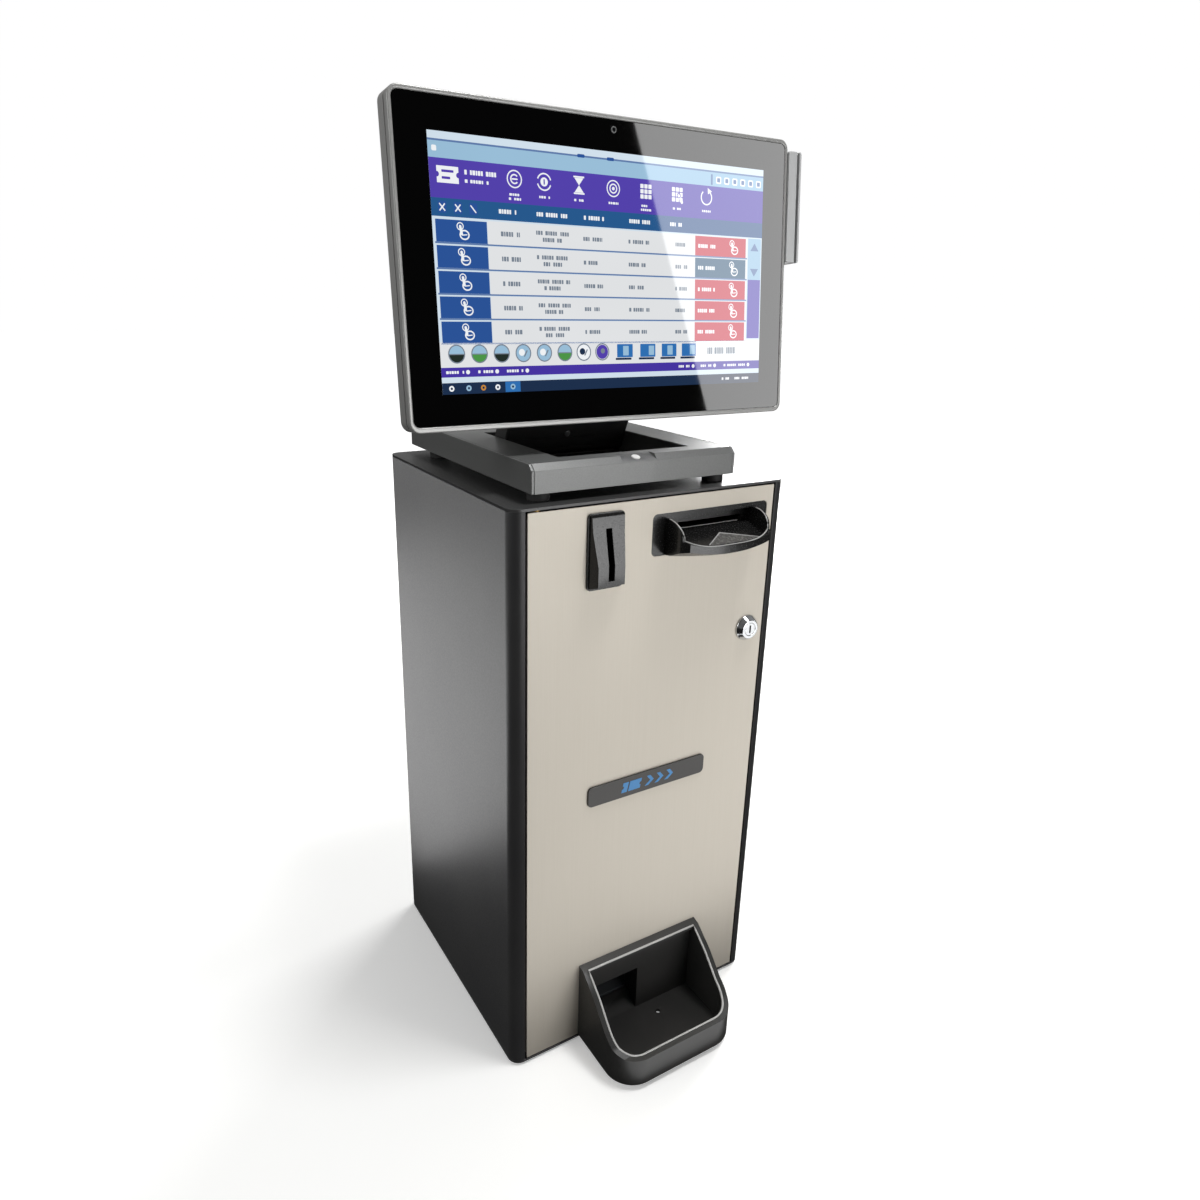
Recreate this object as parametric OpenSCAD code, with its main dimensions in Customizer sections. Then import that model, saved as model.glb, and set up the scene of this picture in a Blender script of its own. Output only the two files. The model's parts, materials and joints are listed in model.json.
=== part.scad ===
// Ticket vending machine: a cash cabinet with a hinged front door, and a touch-screen terminal on it.
// Origin: centre of the cabinet's footprint on the floor. +X right, +Y to the back, +Z up, in millimetres.

/* [Cabinet] */
// Width of the cabinet
cab_w = 300; // [290:1:400]
// Depth of the cabinet
cab_d = 292; // [286:1:400]
// Height of the cabinet above its glides
cab_h = 580; // [570:1:800]
// Radius of the cabinet's upright corners
cab_r = 12; // [8:0.5:16]
// Thickness of the wrap's sheet metal
sheet_t = 1.5; // [1:0.1:2]
// Thickness of the top and bottom panels
cap_t = 2.5; // [2:0.1:3.5]
// Depth of the folded jambs beside the door
jamb_d = 20; // [19.5:0.5:26]
// Height of the rubber glides
glide_h = 3; // [2:0.5:8]
// Radius of the rubber glides
glide_r = 14; // [11:0.5:18]
// Distance of the glides from the cabinet's sides
glide_inset = 30; // [22:1:50]
// Radius of the holes for the floor anchors
anchor_r = 4.5; // [3:0.25:6]

/* [Door] */
// Gap between the door and the jambs
side_gap = 2; // [1.9:0.1:3]
// Gap between the door and the top and bottom panels
end_gap = 1.5; // [1:0.1:2.5]
// Thickness of the door's sheet metal
door_t = 1.5; // [1:0.1:2]
// Depth of the door with its folded edges
door_d = 18; // [14:0.5:19]
// How far the folded ends stand inside the door's skin
fold_drop = 5; // [4:0.5:8]
// Distance of the hinge axis from the door's left edge
hinge_in = 10; // [9:0.5:10]
// Distance of the hinge axis behind the door's face
hinge_back = 6; // [5.9:0.1:7]
// Radius of the hinge pins
pin_r = 2.5; // [2:0.1:2.8]
// Wall of the hinge bushes
bush_wall = 1.75; // [1.2:0.05:1.8]
// Free radius round a pin that turns in a bore
run_clear = 0.06; // [0.02:0.01:0.1]

/* [Coin slot] */
// Distance of the coin slot from the door's left edge
coin_in = 75.8; // [70:0.1:90]
// Depth of the coin bezel's middle below the door's top edge
coin_down = 41.3; // [40:0.1:60]
// Width of the coin bezel
coin_w = 37.5; // [34:0.5:44]
// Height of the coin bezel
coin_h = 69.5; // [64:0.5:76]
// Width of the slot that takes the coins
slot_w = 6.2; // [5:0.1:8]
// Height of the slot that takes the coins
slot_h = 46; // [30:1:50]
// How far the coin bezel stands out at its lower end
coin_out = 12.5; // [10:0.5:18]

/* [Banknote mouth] */
// Distance of the mouth's middle from the door's right edge
note_in = 74.9; // [70:0.1:90]
// Depth of the mouth's middle below the door's top edge
note_down = 34.7; // [32:0.1:60]
// Width of the mouth's frame
note_w = 136; // [120:1:138]
// Height of the mouth's frame
note_h = 39.6; // [36:0.1:46]
// Width of the tray that guides the note
tray_w = 105; // [100:1:116]
// How far the tray stands out in front of the door
tray_out = 33.5; // [28:0.5:38]
// How far the tray's side walls stand out in front of the door
tray_ear = 23.5; // [18:0.5:26]
// Widest note that goes in
bill_w = 82; // [68:1:86]
// Height of the slot that takes the note
bill_h = 5; // [4.5:0.1:7]

/* [Lock and badge] */
// Distance of the lock from the door's right edge
lock_in = 20.6; // [20:0.1:24]
// Height of the lock above the floor
lock_z = 434; // [330:1:480]
// Radius of the lock's outer ring
lock_r = 13.5; // [11:0.5:15]
// Radius of the part of the lock that turns
plug_r = 6.5; // [5:0.1:7.5]
// Length of the cam from the lock's axis
cam_len = 31; // [29:0.5:32]
// Width of the badge plate
badge_w = 140; // [100:1:160]
// Height of the badge plate
badge_h = 21.5; // [16:0.5:28]
// Height of the badge's middle above the floor
badge_z = 292.5; // [200:0.5:320]

/* [Coin cup] */
// Width of the cup
cup_w = 148; // [130:1:170]
// How far the cup stands out in front of the door
cup_out = 85; // [70:1:110]
// Height of the cup at the door
cup_h = 89; // [80:1:110]
// Height of the cup's front wall
cup_front_h = 31; // [24:1:40]
// Radius of the cup's front corners
cup_r = 30; // [22:1:40]
// Thickness of the cup's side and front walls
cup_wall = 7; // [4:0.5:9]
// Thickness of the cup's floor and back
cup_floor = 3; // [2:0.5:5]
// Depth of the thick rim along the back's upper edge
cup_rim_d = 8.5; // [6:0.5:12]
// Width of the window that the coins come through
window_w = 62; // [50:1:68]
// Height of the window that the coins come through
window_h = 53; // [36:1:54]

/* [Hoppers] */
// Width of a coin hopper
hopper_w = 100; // [90:1:108]
// Depth of a coin hopper
hopper_d = 140; // [120:1:150]
// Height of a hopper's bin
bin_h = 120; // [80:1:140]
// Height of a hopper's base with its motor
hopper_base_h = 42; // [38:1:50]
// Height of the shelf that carries the hoppers
shelf_z = 96; // [90:1:110]
// Radius of the disc that pays the coins out
disc_r = 42; // [34:0.5:43]

/* [Terminal base] */
// Distance of the terminal's middle from the cabinet's middle
term_x = -16.4; // [-30:0.1:30]
// Width of the terminal's base
base_w = 217.2; // [212:0.1:250]
// Depth of the terminal's base
base_d = 277.8; // [270:0.1:286]
// Distance of the base's front from the cabinet's front
base_setback = 11.9; // [2:0.1:14]
// Height of the base housing
base_h = 25; // [24:0.5:34]
// Height of the base's feet
foot_h = 8; // [5:0.5:14]
// Radius of the base's feet
foot_r = 10; // [8:0.5:14]
// Chamfer along the base's upper front edge
base_cham = 5.5; // [3:0.5:8]
// Thickness of the base's side cheeks
cheek_t = 3; // [2:0.5:5]
// Width of the opening that the neck stands in
well_w = 141; // [120:1:150]
// Length of the opening that the neck stands in
well_len = 151; // [140:1:160]
// Depth of the rail in front of the opening
front_rail = 22.8; // [20:0.1:30]
// Width of the power button's plate
plate_w = 37; // [30:1:44]
// Radius of the power button
button_r = 4; // [3:0.1:4.5]

/* [Neck] */
// Width of the neck
neck_w = 139; // [118:1:148]
// Thickness of the neck
neck_t = 20; // [18:0.5:22]
// Distance between the neck's two hinge axes
neck_len = 102; // [96:1:112]
// How far the neck leans forward
neck_lean = 25.7; // [20:0.1:32]
// Distance of the neck's foot hinge from the opening's front edge
neck_back = 121.6; // [112:0.1:126]
// Radius of the foot hinge pin
foot_pin_r = 5; // [4:0.1:6]
// Radius of the screen hinge pin
head_pin_r = 4; // [3:0.1:5]

/* [Screen] */
// How far the screen leans back
screen_lean = 5.08; // [0:0.01:12]
// Width of the cover glass
glass_w = 386.9; // [340:0.1:420]
// Height of the cover glass
glass_h = 243.7; // [225:0.1:260]
// Thickness of the cover glass
glass_t = 3; // [2:0.1:4]
// Width of the bezel beside the glass
bezel_side = 3.6; // [2:0.1:8]
// Height of the bezel above the glass
bezel_top = 3.8; // [2:0.1:8]
// Height of the bezel below the glass
bezel_low = 4.7; // [2:0.1:8]
// Radius of the bezel's corners
bezel_r = 9; // [5:0.5:14]
// Depth of the screen's side walls
screen_side_d = 20; // [17:0.5:30]
// Depth of the screen with its rear bulge
screen_d = 42; // [36:0.5:50]
// Width of the picture
picture_w = 335; // [300:1:350]
// Height of the picture
picture_h = 194; // [180:1:210]
// Distance of the screen's hinge behind the glass
hinge_deep = 57; // [56:0.5:66]
// Distance of the screen's hinge below the glass's middle
hinge_low = 65.4; // [50:0.1:80]
// Height of the card reader
reader_h = 100; // [80:1:120]
// How far the card reader stands out beside the screen
reader_out = 16; // [12:0.5:20]

/* [Hidden] */
$fn = 64;
cut = 1; // how far a cutting shape runs past the face that it cuts

// Cabinet levels
front_y = -cab_d / 2;
floor_z = glide_h + cap_t;
roof_z = glide_h + cab_h - cap_t;
top_z = glide_h + cab_h;
inner_x = cab_w / 2 - sheet_t;
inner_y = cab_d / 2 - sheet_t;
jamb_x = cab_w / 2 - cab_r - sheet_t; // clear half width between the jambs
anchor_x = cab_w / 2 - glide_inset;
anchor_y = cab_d / 2 - glide_inset;

// Door levels
door_x = jamb_x - side_gap; // half width of the door
door_low = floor_z + end_gap;
door_top = roof_z - end_gap;
skin_y = front_y + door_t;
fold_y = front_y + door_d;
pin_x = -door_x + hinge_in;
pin_y = front_y + hinge_back;
bush_r = pin_r + bush_wall;
bush_len = fold_drop + end_gap - 1.5;

// Coin slot
coin_x = -door_x + coin_in;
coin_z = door_top - coin_down;
coin_plate_t = 2;
coin_body_w = coin_w - 6;
nose_root_w = coin_w - 3.5; // width of the coin bezel's nose at the plate
nose_w = nose_root_w - 7; // and where it stands out furthest
slot_x = coin_x;
slot_z = coin_z - 1.7;
validator_w = 88;
validator_h = 96;
validator_d = 56;
validator_y = fold_y + 0.5;
validator_z = door_top - fold_drop - door_t - 2 - validator_h;
gate_pin_r = 1.5;
gate_pin_z = validator_z + 24;
gate_pin_y = validator_y + validator_d - 14;
gate_len = 16;
gate_t = 2;

// Banknote mouth
note_x = door_x - note_in;
note_z = door_top - note_down;
mouth_clear = 0.3;
mouth_r = 5;
flange_over = 3.5; // how far the mouth's flange reaches behind the door's skin
tray_wall = 2.6;
tray_back = 8; // depth of the hollow behind the door's face
tray_low = note_z - note_h / 2 + 0.3;
bill_z = note_z + 4.6; // middle of the slot that takes the note
lip_mid_z = note_z - 7.7;
lip_end_z = note_z - 1;
lip_curve = 3.5; // power that keeps the lip level in the middle and lifts it at its ends
ear_root = 2.6; // how far in front of the door the side walls' upper edges start to fall
ear_top_z = note_z + 14.5;
tray_r = 16; // radius of the tray's front corners
tray_bow = 5; // how far the tray's front edge bows out in the middle
bow_r = ((tray_w / 2) * (tray_w / 2) + tray_bow * tray_bow) / (2 * tray_bow);
keel_r = 190; // radius of the tray's rounded underside, which falls back to the door at keel_tilt
keel_tilt = 23;
keel_up = 4; // height of the underside's front edge above the mouth's lower edge
head_w = 92;
head_h = 50;
head_d = 92;
head_y = fold_y - 4;
head_z = door_top - fold_drop - door_t - 1 - head_h;
feed_r = 9;
pinch_r = 6;
nip_gap = 0.2;
roller_y = head_y + 40;
feed_z = bill_z - feed_r - nip_gap / 2;
pinch_z = bill_z + pinch_r + nip_gap / 2;
axle_r = 3;
roller_len = 70;
cassette_w = 80;
cassette_d = 66;
cassette_h = 190;

// Lock
lock_x = door_x - lock_in;
barrel_r = 9;
lock_out = 7;
cam_t = 2;
cam_y = front_y + jamb_d + 2.5;
cam_w = 14;
strike_h = 44;

// Cup
cup_low = door_low;
cup_rim_h = 7;
cup_screws = [for (sx = [-1, 1], z = [cup_low + 20, cup_low + cup_h - 16]) [sx * (cup_w / 2 - 3.5), z]];
window_x = -2 - window_w; // left side of the window
window_z = cup_low + cup_floor;
collar_t = 2;
collar_y = fold_y - 0.5; // back of the collar that lines the way through the door
ramp_z = window_z + 11.5; // height of the ramp at the collar's back

// Hoppers
hopper_gap = 10;
hopper_y = front_y + 62; // front of the hoppers
hopper_xs = [-hopper_gap / 2 - hopper_w / 2 - 9, hopper_gap / 2 + hopper_w / 2 - 9];
base_top = shelf_z + 2 + hopper_base_h;
spindle_r = 5;
disc_t = 6;
coin_hole_r = 14; // holes that take coins up to 26 mm across
bin_t = 2.5;
sorter_x = coin_x;
sorter_w = 92;
sorter_d = 60;
sorter_y = validator_y + validator_d + 4;
sorter_z = base_top + bin_h + 22;
sorter_h = 110;
flap_pin_r = 2;
flap_pin_z = sorter_z + 34;

// Terminal base
base_y = front_y + base_setback;
base_z = top_z + foot_h;
base_top_z = base_z + base_h;
base_t = 2.5;
plate_t = 2;
well_t = 2;
well_y = base_y + front_rail;
foot_x = base_w / 2 - cheek_t - foot_r - 1;
foot_ys = [base_y + 4 + foot_r, base_y + base_d - 45];
scoop_d = 15; // depth and drop of the sloping plate round the power button
scoop_drop = 5;
scoop_a = atan(scoop_drop / scoop_d);
button_travel = 1;
button_depth = 5;

// Neck hinges
foot_hinge = [well_y + neck_back, base_top_z - 11];
head_hinge = foot_hinge + neck_len * [-sin(neck_lean), cos(neck_lean)];
knuckle_r = neck_t / 2 + 0.5;
head_knuckle_r = 9;
ear_t = 5;
ear_x = 45; // inside face of the screen bracket's ears
cover_t = 2.5;
neck_screw_z = 18;
well_out = well_w / 2 + well_t; // outside of the well, from the terminal's middle

// Screen, in its own frame: x right, z up along the glass, y back from the glass's front
bezel_w = glass_w + 2 * bezel_side;
bezel_h = glass_h + bezel_top + bezel_low;
bezel_mid = (bezel_top - bezel_low) / 2;
bezel_d = 8;
seam = 0.8;
wall_t = 2.5;
bulge_w = bezel_w - 90;
bulge_h = bezel_h - 80;
bracket_w = 130;
bracket_h = 90;
bracket_t = 3;
bracket_z = 30 - hinge_low;
cam_hole_r = 3;
cam_z = glass_h / 2 - 7.5;
reader_d = 30;
reader_z = 66;
reader_slot = 3;

// Shapes that repeat

module rounded_rect(w, d, r) {
    square([w - 2 * r, d], center = true);
    square([w, d - 2 * r], center = true);
    for (sx = [-1, 1], sy = [-1, 1])
        translate([sx * (w / 2 - r), sy * (d / 2 - r)]) circle(r = r);
}

// A flat shape drawn in x and z, standing upright from y0 to y0 + t
module upright(y0, t) {
    translate([0, y0 + t, 0]) rotate([90, 0, 0]) linear_extrude(t) children();
}

// A side view drawn in y and z, running from x0 to x0 + t
module across(x0, t) {
    translate([x0, 0, 0]) rotate([90, 0, 90]) linear_extrude(t) children();
}

module box(low, high) {
    translate(low) cube(high - low);
}

module rod_x(x0, x1, y, z, r) {
    translate([x0, y, z]) rotate([0, 90, 0]) cylinder(h = x1 - x0, r = r);
}

module rod_y(y0, y1, x, z, r) {
    translate([x, y0, z]) rotate([-90, 0, 0]) cylinder(h = y1 - y0, r = r);
}

// A screw with a flat round head, pointing along -z from the head's underside
module screw(shank_r, shank_len, head_r, head_h) {
    translate([0, 0, -shank_len]) cylinder(h = shank_len, r = shank_r);
    cylinder(h = head_h, r = head_r);
}

module at_corners(x, y) {
    for (sx = [-1, 1], sy = [-1, 1]) translate([sx * x, sy * y, 0]) children();
}

// Cabinet

module cabinet_wrap() color("#3a3a3b") difference() {
    translate([0, 0, floor_z]) linear_extrude(roof_z - floor_z) {
        difference() {
            rounded_rect(cab_w, cab_d, cab_r);
            rounded_rect(2 * inner_x, 2 * inner_y, cab_r - sheet_t);
            translate([-jamb_x - sheet_t, front_y - cut]) square([2 * (jamb_x + sheet_t), cab_r + cut]);
        }
        for (side = [-1, 1])
            translate([side * (jamb_x + sheet_t / 2) - sheet_t / 2, front_y]) square([sheet_t, jamb_d]);
    }
    for (row = [0 : 5], side = [-1, 1])
        box([side * 60 - 35, inner_y - cut, roof_z - 60 - 14 * row],
            [side * 60 + 35, cab_d / 2 + cut, roof_z - 56 - 14 * row]);
    inlet_hole(inner_y - cut, sheet_t + 2 * cut, 0.2);
}

module inlet_hole(y0, depth, clear) {
    upright(y0, depth) translate([inner_x - 60, floor_z + 45]) rounded_rect(48 + clear, 27 + clear, 3);
}

module top_panel() color("#6b6c6c") difference() {
    translate([0, 0, roof_z]) linear_extrude(cap_t) rounded_rect(cab_w, cab_d, cab_r);
    translate([term_x, base_y + base_d - 70, roof_z - cut]) cylinder(h = cap_t + 2 * cut, r = 14);
    for (side = [-1, 1], y = foot_ys)
        translate([term_x + side * foot_x, y, roof_z - cut]) cylinder(h = cap_t + 2 * cut, r = 2.2);
}

module bottom_panel() color("#3a3a3b") difference() {
    translate([0, 0, glide_h]) linear_extrude(cap_t) rounded_rect(cab_w, cab_d, cab_r);
    translate([0, 0, glide_h - cut]) at_corners(anchor_x, anchor_y)
        cylinder(h = cap_t + 2 * cut, r = anchor_r);
}

module glides() color("#202020") at_corners(anchor_x, anchor_y) difference() {
    cylinder(h = glide_h, r = glide_r);
    translate([0, 0, -cut]) cylinder(h = glide_h + 2 * cut, r = anchor_r);
}

module hinge_bushes() color("#b0a060") for (z = [floor_z, roof_z - bush_len])
    translate([pin_x, pin_y, z]) difference() {
        cylinder(h = bush_len, r = bush_r);
        translate([0, 0, -cut]) cylinder(h = bush_len + 2 * cut, r = pin_r + run_clear);
    }

module lock_strike() color("#a5a7a8") {
    box([inner_x - 2, front_y + jamb_d + 2, lock_z - strike_h / 2],
        [inner_x, cam_y + 24, lock_z + strike_h / 2]);
    box([jamb_x + sheet_t, front_y + jamb_d, lock_z - strike_h / 2],
        [inner_x, front_y + jamb_d + 2, lock_z + strike_h / 2]);
}

module hopper_shelf() color("#8a8c8e") difference() {
    union() {
        translate([0, 0, shelf_z]) linear_extrude(2) intersection() {
            rounded_rect(2 * inner_x, 2 * inner_y, cab_r - sheet_t);
            translate([-inner_x, hopper_y - 6]) square([2 * inner_x, inner_y - hopper_y + 6]);
        }
        for (side = [-1, 1])
            box([side * (inner_x - 1) - 1, hopper_y - 6, shelf_z - 20],
                [side * (inner_x - 1) + 1, inner_y - cab_r, shelf_z]);
    }
    for (x = hopper_xs)
        translate([x, hopper_y + hopper_d / 2, shelf_z - cut]) cylinder(h = 2 + 2 * cut, r = 20);
}

// Hoppers that store the coins and pay them out

module hopper_bins() color("#2b4f7a") for (x = hopper_xs)
    translate([x, hopper_y + hopper_d / 2, base_top]) difference() {
        linear_extrude(bin_h) rounded_rect(hopper_w, hopper_d, 6);
        translate([0, 0, disc_t + 4]) linear_extrude(bin_h)
            rounded_rect(hopper_w - 2 * bin_t, hopper_d - 2 * bin_t, 4);
        translate([0, 0, -cut]) cylinder(h = bin_h, r = disc_r + 1.5);
    }

module hopper_bases() color("#2a2a2c") for (x = hopper_xs) difference() {
    union() {
        translate([x, hopper_y + hopper_d / 2, shelf_z + 2]) linear_extrude(hopper_base_h)
            rounded_rect(hopper_w, hopper_d, 6);
        translate([x, hopper_y + hopper_d / 2, shelf_z - 14]) cylinder(h = 17, r = 18);
    }
    translate([x, hopper_y + hopper_d / 2, base_top - 24])
        cylinder(h = 24 + cut, r = spindle_r + run_clear);
    box([x - 17, hopper_y - cut, base_top - 6], [x + 17, hopper_y + 26, base_top + cut]);
}

module hopper_disc(x) translate([x, hopper_y + hopper_d / 2, base_top + 0.3]) {
    difference() {
        cylinder(h = disc_t, r = disc_r);
        for (i = [0 : 3]) rotate([0, 0, 45 + 90 * i]) translate([disc_r - 18, 0, -cut])
            cylinder(h = disc_t + 2 * cut, r = coin_hole_r);
    }
    translate([0, 0, disc_t]) cylinder(h = 8, r = 8);
    translate([0, 0, -20]) cylinder(h = 20, r = spindle_r);
}

module hopper_disc_left() color("#c9c9c4") hopper_disc(hopper_xs[0]);
module hopper_disc_right() color("#c9c9c4") hopper_disc(hopper_xs[1]);

module sorter_chute() color("#707478") difference() {
    box([sorter_x - sorter_w / 2, sorter_y, sorter_z],
        [sorter_x + sorter_w / 2, inner_y, sorter_z + sorter_h]);
    box([sorter_x - sorter_w / 2 + 3, sorter_y + 3, sorter_z - cut],
        [sorter_x + sorter_w / 2 - 3, sorter_y + sorter_d, sorter_z + sorter_h + cut]);
    box([sorter_x - sorter_w / 2 - cut, sorter_y + sorter_d + 3, sorter_z - cut],
        [sorter_x + sorter_w / 2 - 3, inner_y - 3, sorter_z + sorter_h + cut]);
    box([sorter_x + sorter_w / 2 - 3 - cut, sorter_y + 3, sorter_z - cut],
        [sorter_x + sorter_w / 2 + cut, sorter_y + sorter_d - 6, sorter_z + 40]);
    upright(sorter_y - cut, inner_y - sorter_y + 2 * cut)
        translate([sorter_x, flap_pin_z]) circle(r = flap_pin_r + run_clear);
}

module sorter_flap() color("#d08a30") {
    rod_y(sorter_y, sorter_y + sorter_d + 3, sorter_x, flap_pin_z, flap_pin_r);
    rod_y(sorter_y + 4, sorter_y + sorter_d - 1, sorter_x, flap_pin_z, 4);
    box([sorter_x - 1, sorter_y + 4, flap_pin_z], [sorter_x + 1, sorter_y + sorter_d - 1, flap_pin_z + 36]);
}

// Sheet trough from the hoppers' mouths down to the window in the door
module coin_chute() color("#8f9294") {
    chute_y = fold_y + 1;
    wide = hopper_xs[1] + 24;
    difference() {
        box([window_x - 2, chute_y, window_z - 4], [window_x + window_w + 2, hopper_y - 8, shelf_z - 4]);
        across(window_x, window_w) polygon([
            [chute_y - cut, ramp_z + 1], [chute_y + 24, ramp_z + 10], [hopper_y - 10, window_z + 44],
            [hopper_y - 10, shelf_z - 3], [chute_y - cut, shelf_z - 3]]);
        box([window_x + window_w - cut, chute_y + 2, shelf_z - 30],
            [window_x + window_w + 3, hopper_y - 10, shelf_z]);
    }
    difference() {
        box([window_x + window_w + 2, chute_y, shelf_z - 36], [wide, hopper_y - 8, shelf_z - 4]);
        upright(chute_y + 2, hopper_y - 12 - chute_y) polygon([
            [window_x + window_w + 1, shelf_z - 30], [wide - 2, shelf_z - 18],
            [wide - 2, shelf_z - 3], [window_x + window_w + 1, shelf_z - 3]]);
    }
    box([window_x - 2, hopper_y - 8, shelf_z - 30], [wide, hopper_y - 6, shelf_z + 2]);
}

module power_supply() color("#b9bbbd") difference() {
    box([-inner_x + 6, inner_y - 42, floor_z + 14], [-inner_x + 166, inner_y - 2, shelf_z - 22]);
    for (i = [0 : 9])
        box([-inner_x + 20 + 14 * i, inner_y - 42 - cut, floor_z + 24],
            [-inner_x + 24 + 14 * i, inner_y - 38, shelf_z - 32]);
}

module control_board() color("#1f6b3a") {
    board_x = inner_x - 16;
    top = sorter_z + 150;
    box([board_x, -20, top - 110], [board_x + 1.6, 120, top]);
    for (y = [-12, 112], z = [top - 102, top - 8]) rod_x(board_x + 1.6, inner_x, y, z, 3);
    for (i = [0 : 4]) box([board_x - 9, -10 + 24 * i, top - 104], [board_x, 8 + 24 * i, top - 90]);
    box([board_x - 4, 20, top - 70], [board_x, 60, top - 30]);
    for (i = [0 : 2]) rod_x(board_x - 16, board_x, 80 + 13 * i, top - 20, 5);
}

module power_inlet() color("#1c1c1c") difference() {
    union() {
        inlet_hole(inner_y - 22, 22 + sheet_t, 0);
        upright(cab_d / 2, 2) translate([inner_x - 60, floor_z + 45]) rounded_rect(60, 32, 4);
    }
    upright(inner_y - 14, 30) translate([inner_x - 66, floor_z + 45]) rounded_rect(25, 17, 2);
}

// Three flat contacts of the mains inlet
module inlet_blades() color("#c8b060") for (i = [-1 : 1])
    translate([inner_x - 66 + 7 * i, inner_y - 14, floor_z + 45 + (i == 0 ? 2 : -2)])
        box([-1, 0, -2.5], [1, 12, 2.5]);

module cable_grommet() color("#1c1c1c") translate([term_x, base_y + base_d - 70, roof_z - 2]) difference() {
    union() {
        cylinder(h = cap_t + 4, r = 14);
        cylinder(h = 2, r = 17);
        translate([0, 0, cap_t + 2]) cylinder(h = 2, r = 17);
    }
    translate([0, 0, -cut]) cylinder(h = cap_t + 4 + 2 * cut, r = 10);
}

// Door

module door_panel() color("#c6beb1") difference() {
    union() {
        box([-door_x, front_y, door_low], [door_x, skin_y, door_top]);
        difference() {
            box([-door_x, skin_y, door_low + fold_drop], [door_x, fold_y, door_top - fold_drop]);
            box([-door_x + door_t, skin_y - cut, door_low + fold_drop + door_t],
                [door_x - door_t, fold_y + cut, door_top - fold_drop - door_t]);
        }
    }
    upright(front_y - cut, door_t + 2 * cut) {
        translate([coin_x, coin_z]) rounded_rect(coin_body_w - 3, coin_h - 10, 2);
        translate([note_x, note_z]) rounded_rect(note_w, note_h, mouth_r);
        translate([window_x - collar_t - 0.3, window_z - 0.3])
            square([window_w + 2 * collar_t + 0.6, window_h + collar_t + 0.6]);
        for (p = cup_screws) translate(p) circle(r = 2.1);
    }
    // Notch in the lower fold, where the cup's collar passes
    box([window_x - collar_t - 1, skin_y - cut, door_low + fold_drop - cut],
        [window_x + window_w + collar_t + 1, fold_y + cut, door_low + fold_drop + door_t + cut]);
    rod_y(front_y - cut, skin_y + cut, lock_x, lock_z, barrel_r);
    translate([pin_x, pin_y, door_low]) cylinder(h = door_top - door_low, r = pin_r);
}

module hinge_pins() color("#b5b7b9") {
    for (end = [0, 1]) {
        fold_z = end == 0 ? door_low + fold_drop : door_top - fold_drop;
        tip_z = end == 0 ? floor_z + 0.5 : roof_z - 0.5;
        dir = end == 0 ? 1 : -1;
        translate([pin_x, pin_y, min(tip_z, fold_z + dir * (door_t + 4))])
            cylinder(h = abs(fold_z + dir * (door_t + 4) - tip_z), r = pin_r);
        translate([pin_x, pin_y, end == 0 ? fold_z - 1.4 : fold_z])
            cylinder(h = end == 0 ? 1.4 : 1.2, r = bush_r - 0.2);
        translate([pin_x, pin_y, end == 0 ? fold_z + door_t : fold_z - door_t - 2])
            cylinder(h = 2, r = bush_r - 0.2);
    }
}

module coin_bezel() color("#2a2a2b") difference() {
    union() {
        upright(front_y - coin_plate_t, coin_plate_t) translate([coin_x, coin_z])
            rounded_rect(coin_w, coin_h, 4);
        // Nose, which narrows as it stands out
        intersection() {
            across(coin_x - nose_root_w / 2, nose_root_w) translate([front_y, coin_z]) polygon([
                [-coin_plate_t, coin_h / 2 - 1], [-coin_plate_t - 1.5, coin_h / 2 - 1],
                [-5, coin_h / 2 - 3.5], [-6, 19], [-coin_out, -11], [-coin_out, -coin_h / 2 + 5.5],
                [-coin_plate_t, -coin_h / 2 + 2]]);
            translate([coin_x, front_y, coin_z - coin_h / 2]) linear_extrude(coin_h) polygon([
                [-nose_root_w / 2, 0], [-nose_root_w / 2, -4], [-nose_w / 2, -coin_out - cut],
                [nose_w / 2, -coin_out - cut], [nose_root_w / 2, -4], [nose_root_w / 2, 0]]);
        }
        upright(front_y, validator_y - front_y) translate([coin_x, coin_z])
            rounded_rect(coin_body_w - 4, coin_h - 11, 2);
    }
    box([slot_x - slot_w / 2, front_y - coin_out - cut, slot_z - slot_h / 2],
        [slot_x + slot_w / 2, validator_y + cut, slot_z + slot_h / 2]);
}

module coin_validator() color("#4a4c50") difference() {
    box([coin_x - validator_w / 2, validator_y, validator_z],
        [coin_x + validator_w / 2, validator_y + validator_d, validator_z + validator_h]);
    box([slot_x - slot_w / 2, validator_y - cut, slot_z - slot_h / 2],
        [slot_x + slot_w / 2, validator_y + validator_d - 10, slot_z + slot_h / 2]);
    across(slot_x - slot_w / 2, slot_w) polygon([
        [validator_y + 6, slot_z], [validator_y + validator_d - 10, slot_z],
        [gate_pin_y + 8, gate_pin_z - 8], [validator_y + validator_d + cut, validator_z + 8],
        [validator_y + validator_d + cut, validator_z - cut], [validator_y + 18, validator_z - cut]]);
    rod_x(slot_x - slot_w / 2 - 4, slot_x + slot_w / 2 + 4, gate_pin_y, gate_pin_z, gate_pin_r + run_clear);
}

module validator_gate() color("#c04030") {
    rod_x(slot_x - slot_w / 2 - 3.8, slot_x + slot_w / 2 + 3.8, gate_pin_y, gate_pin_z, gate_pin_r);
    box([slot_x - slot_w / 2 + 0.4, gate_pin_y - gate_t / 2, gate_pin_z - gate_len],
        [slot_x + slot_w / 2 - 0.4, gate_pin_y + gate_t / 2, gate_pin_z]);
}

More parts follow.
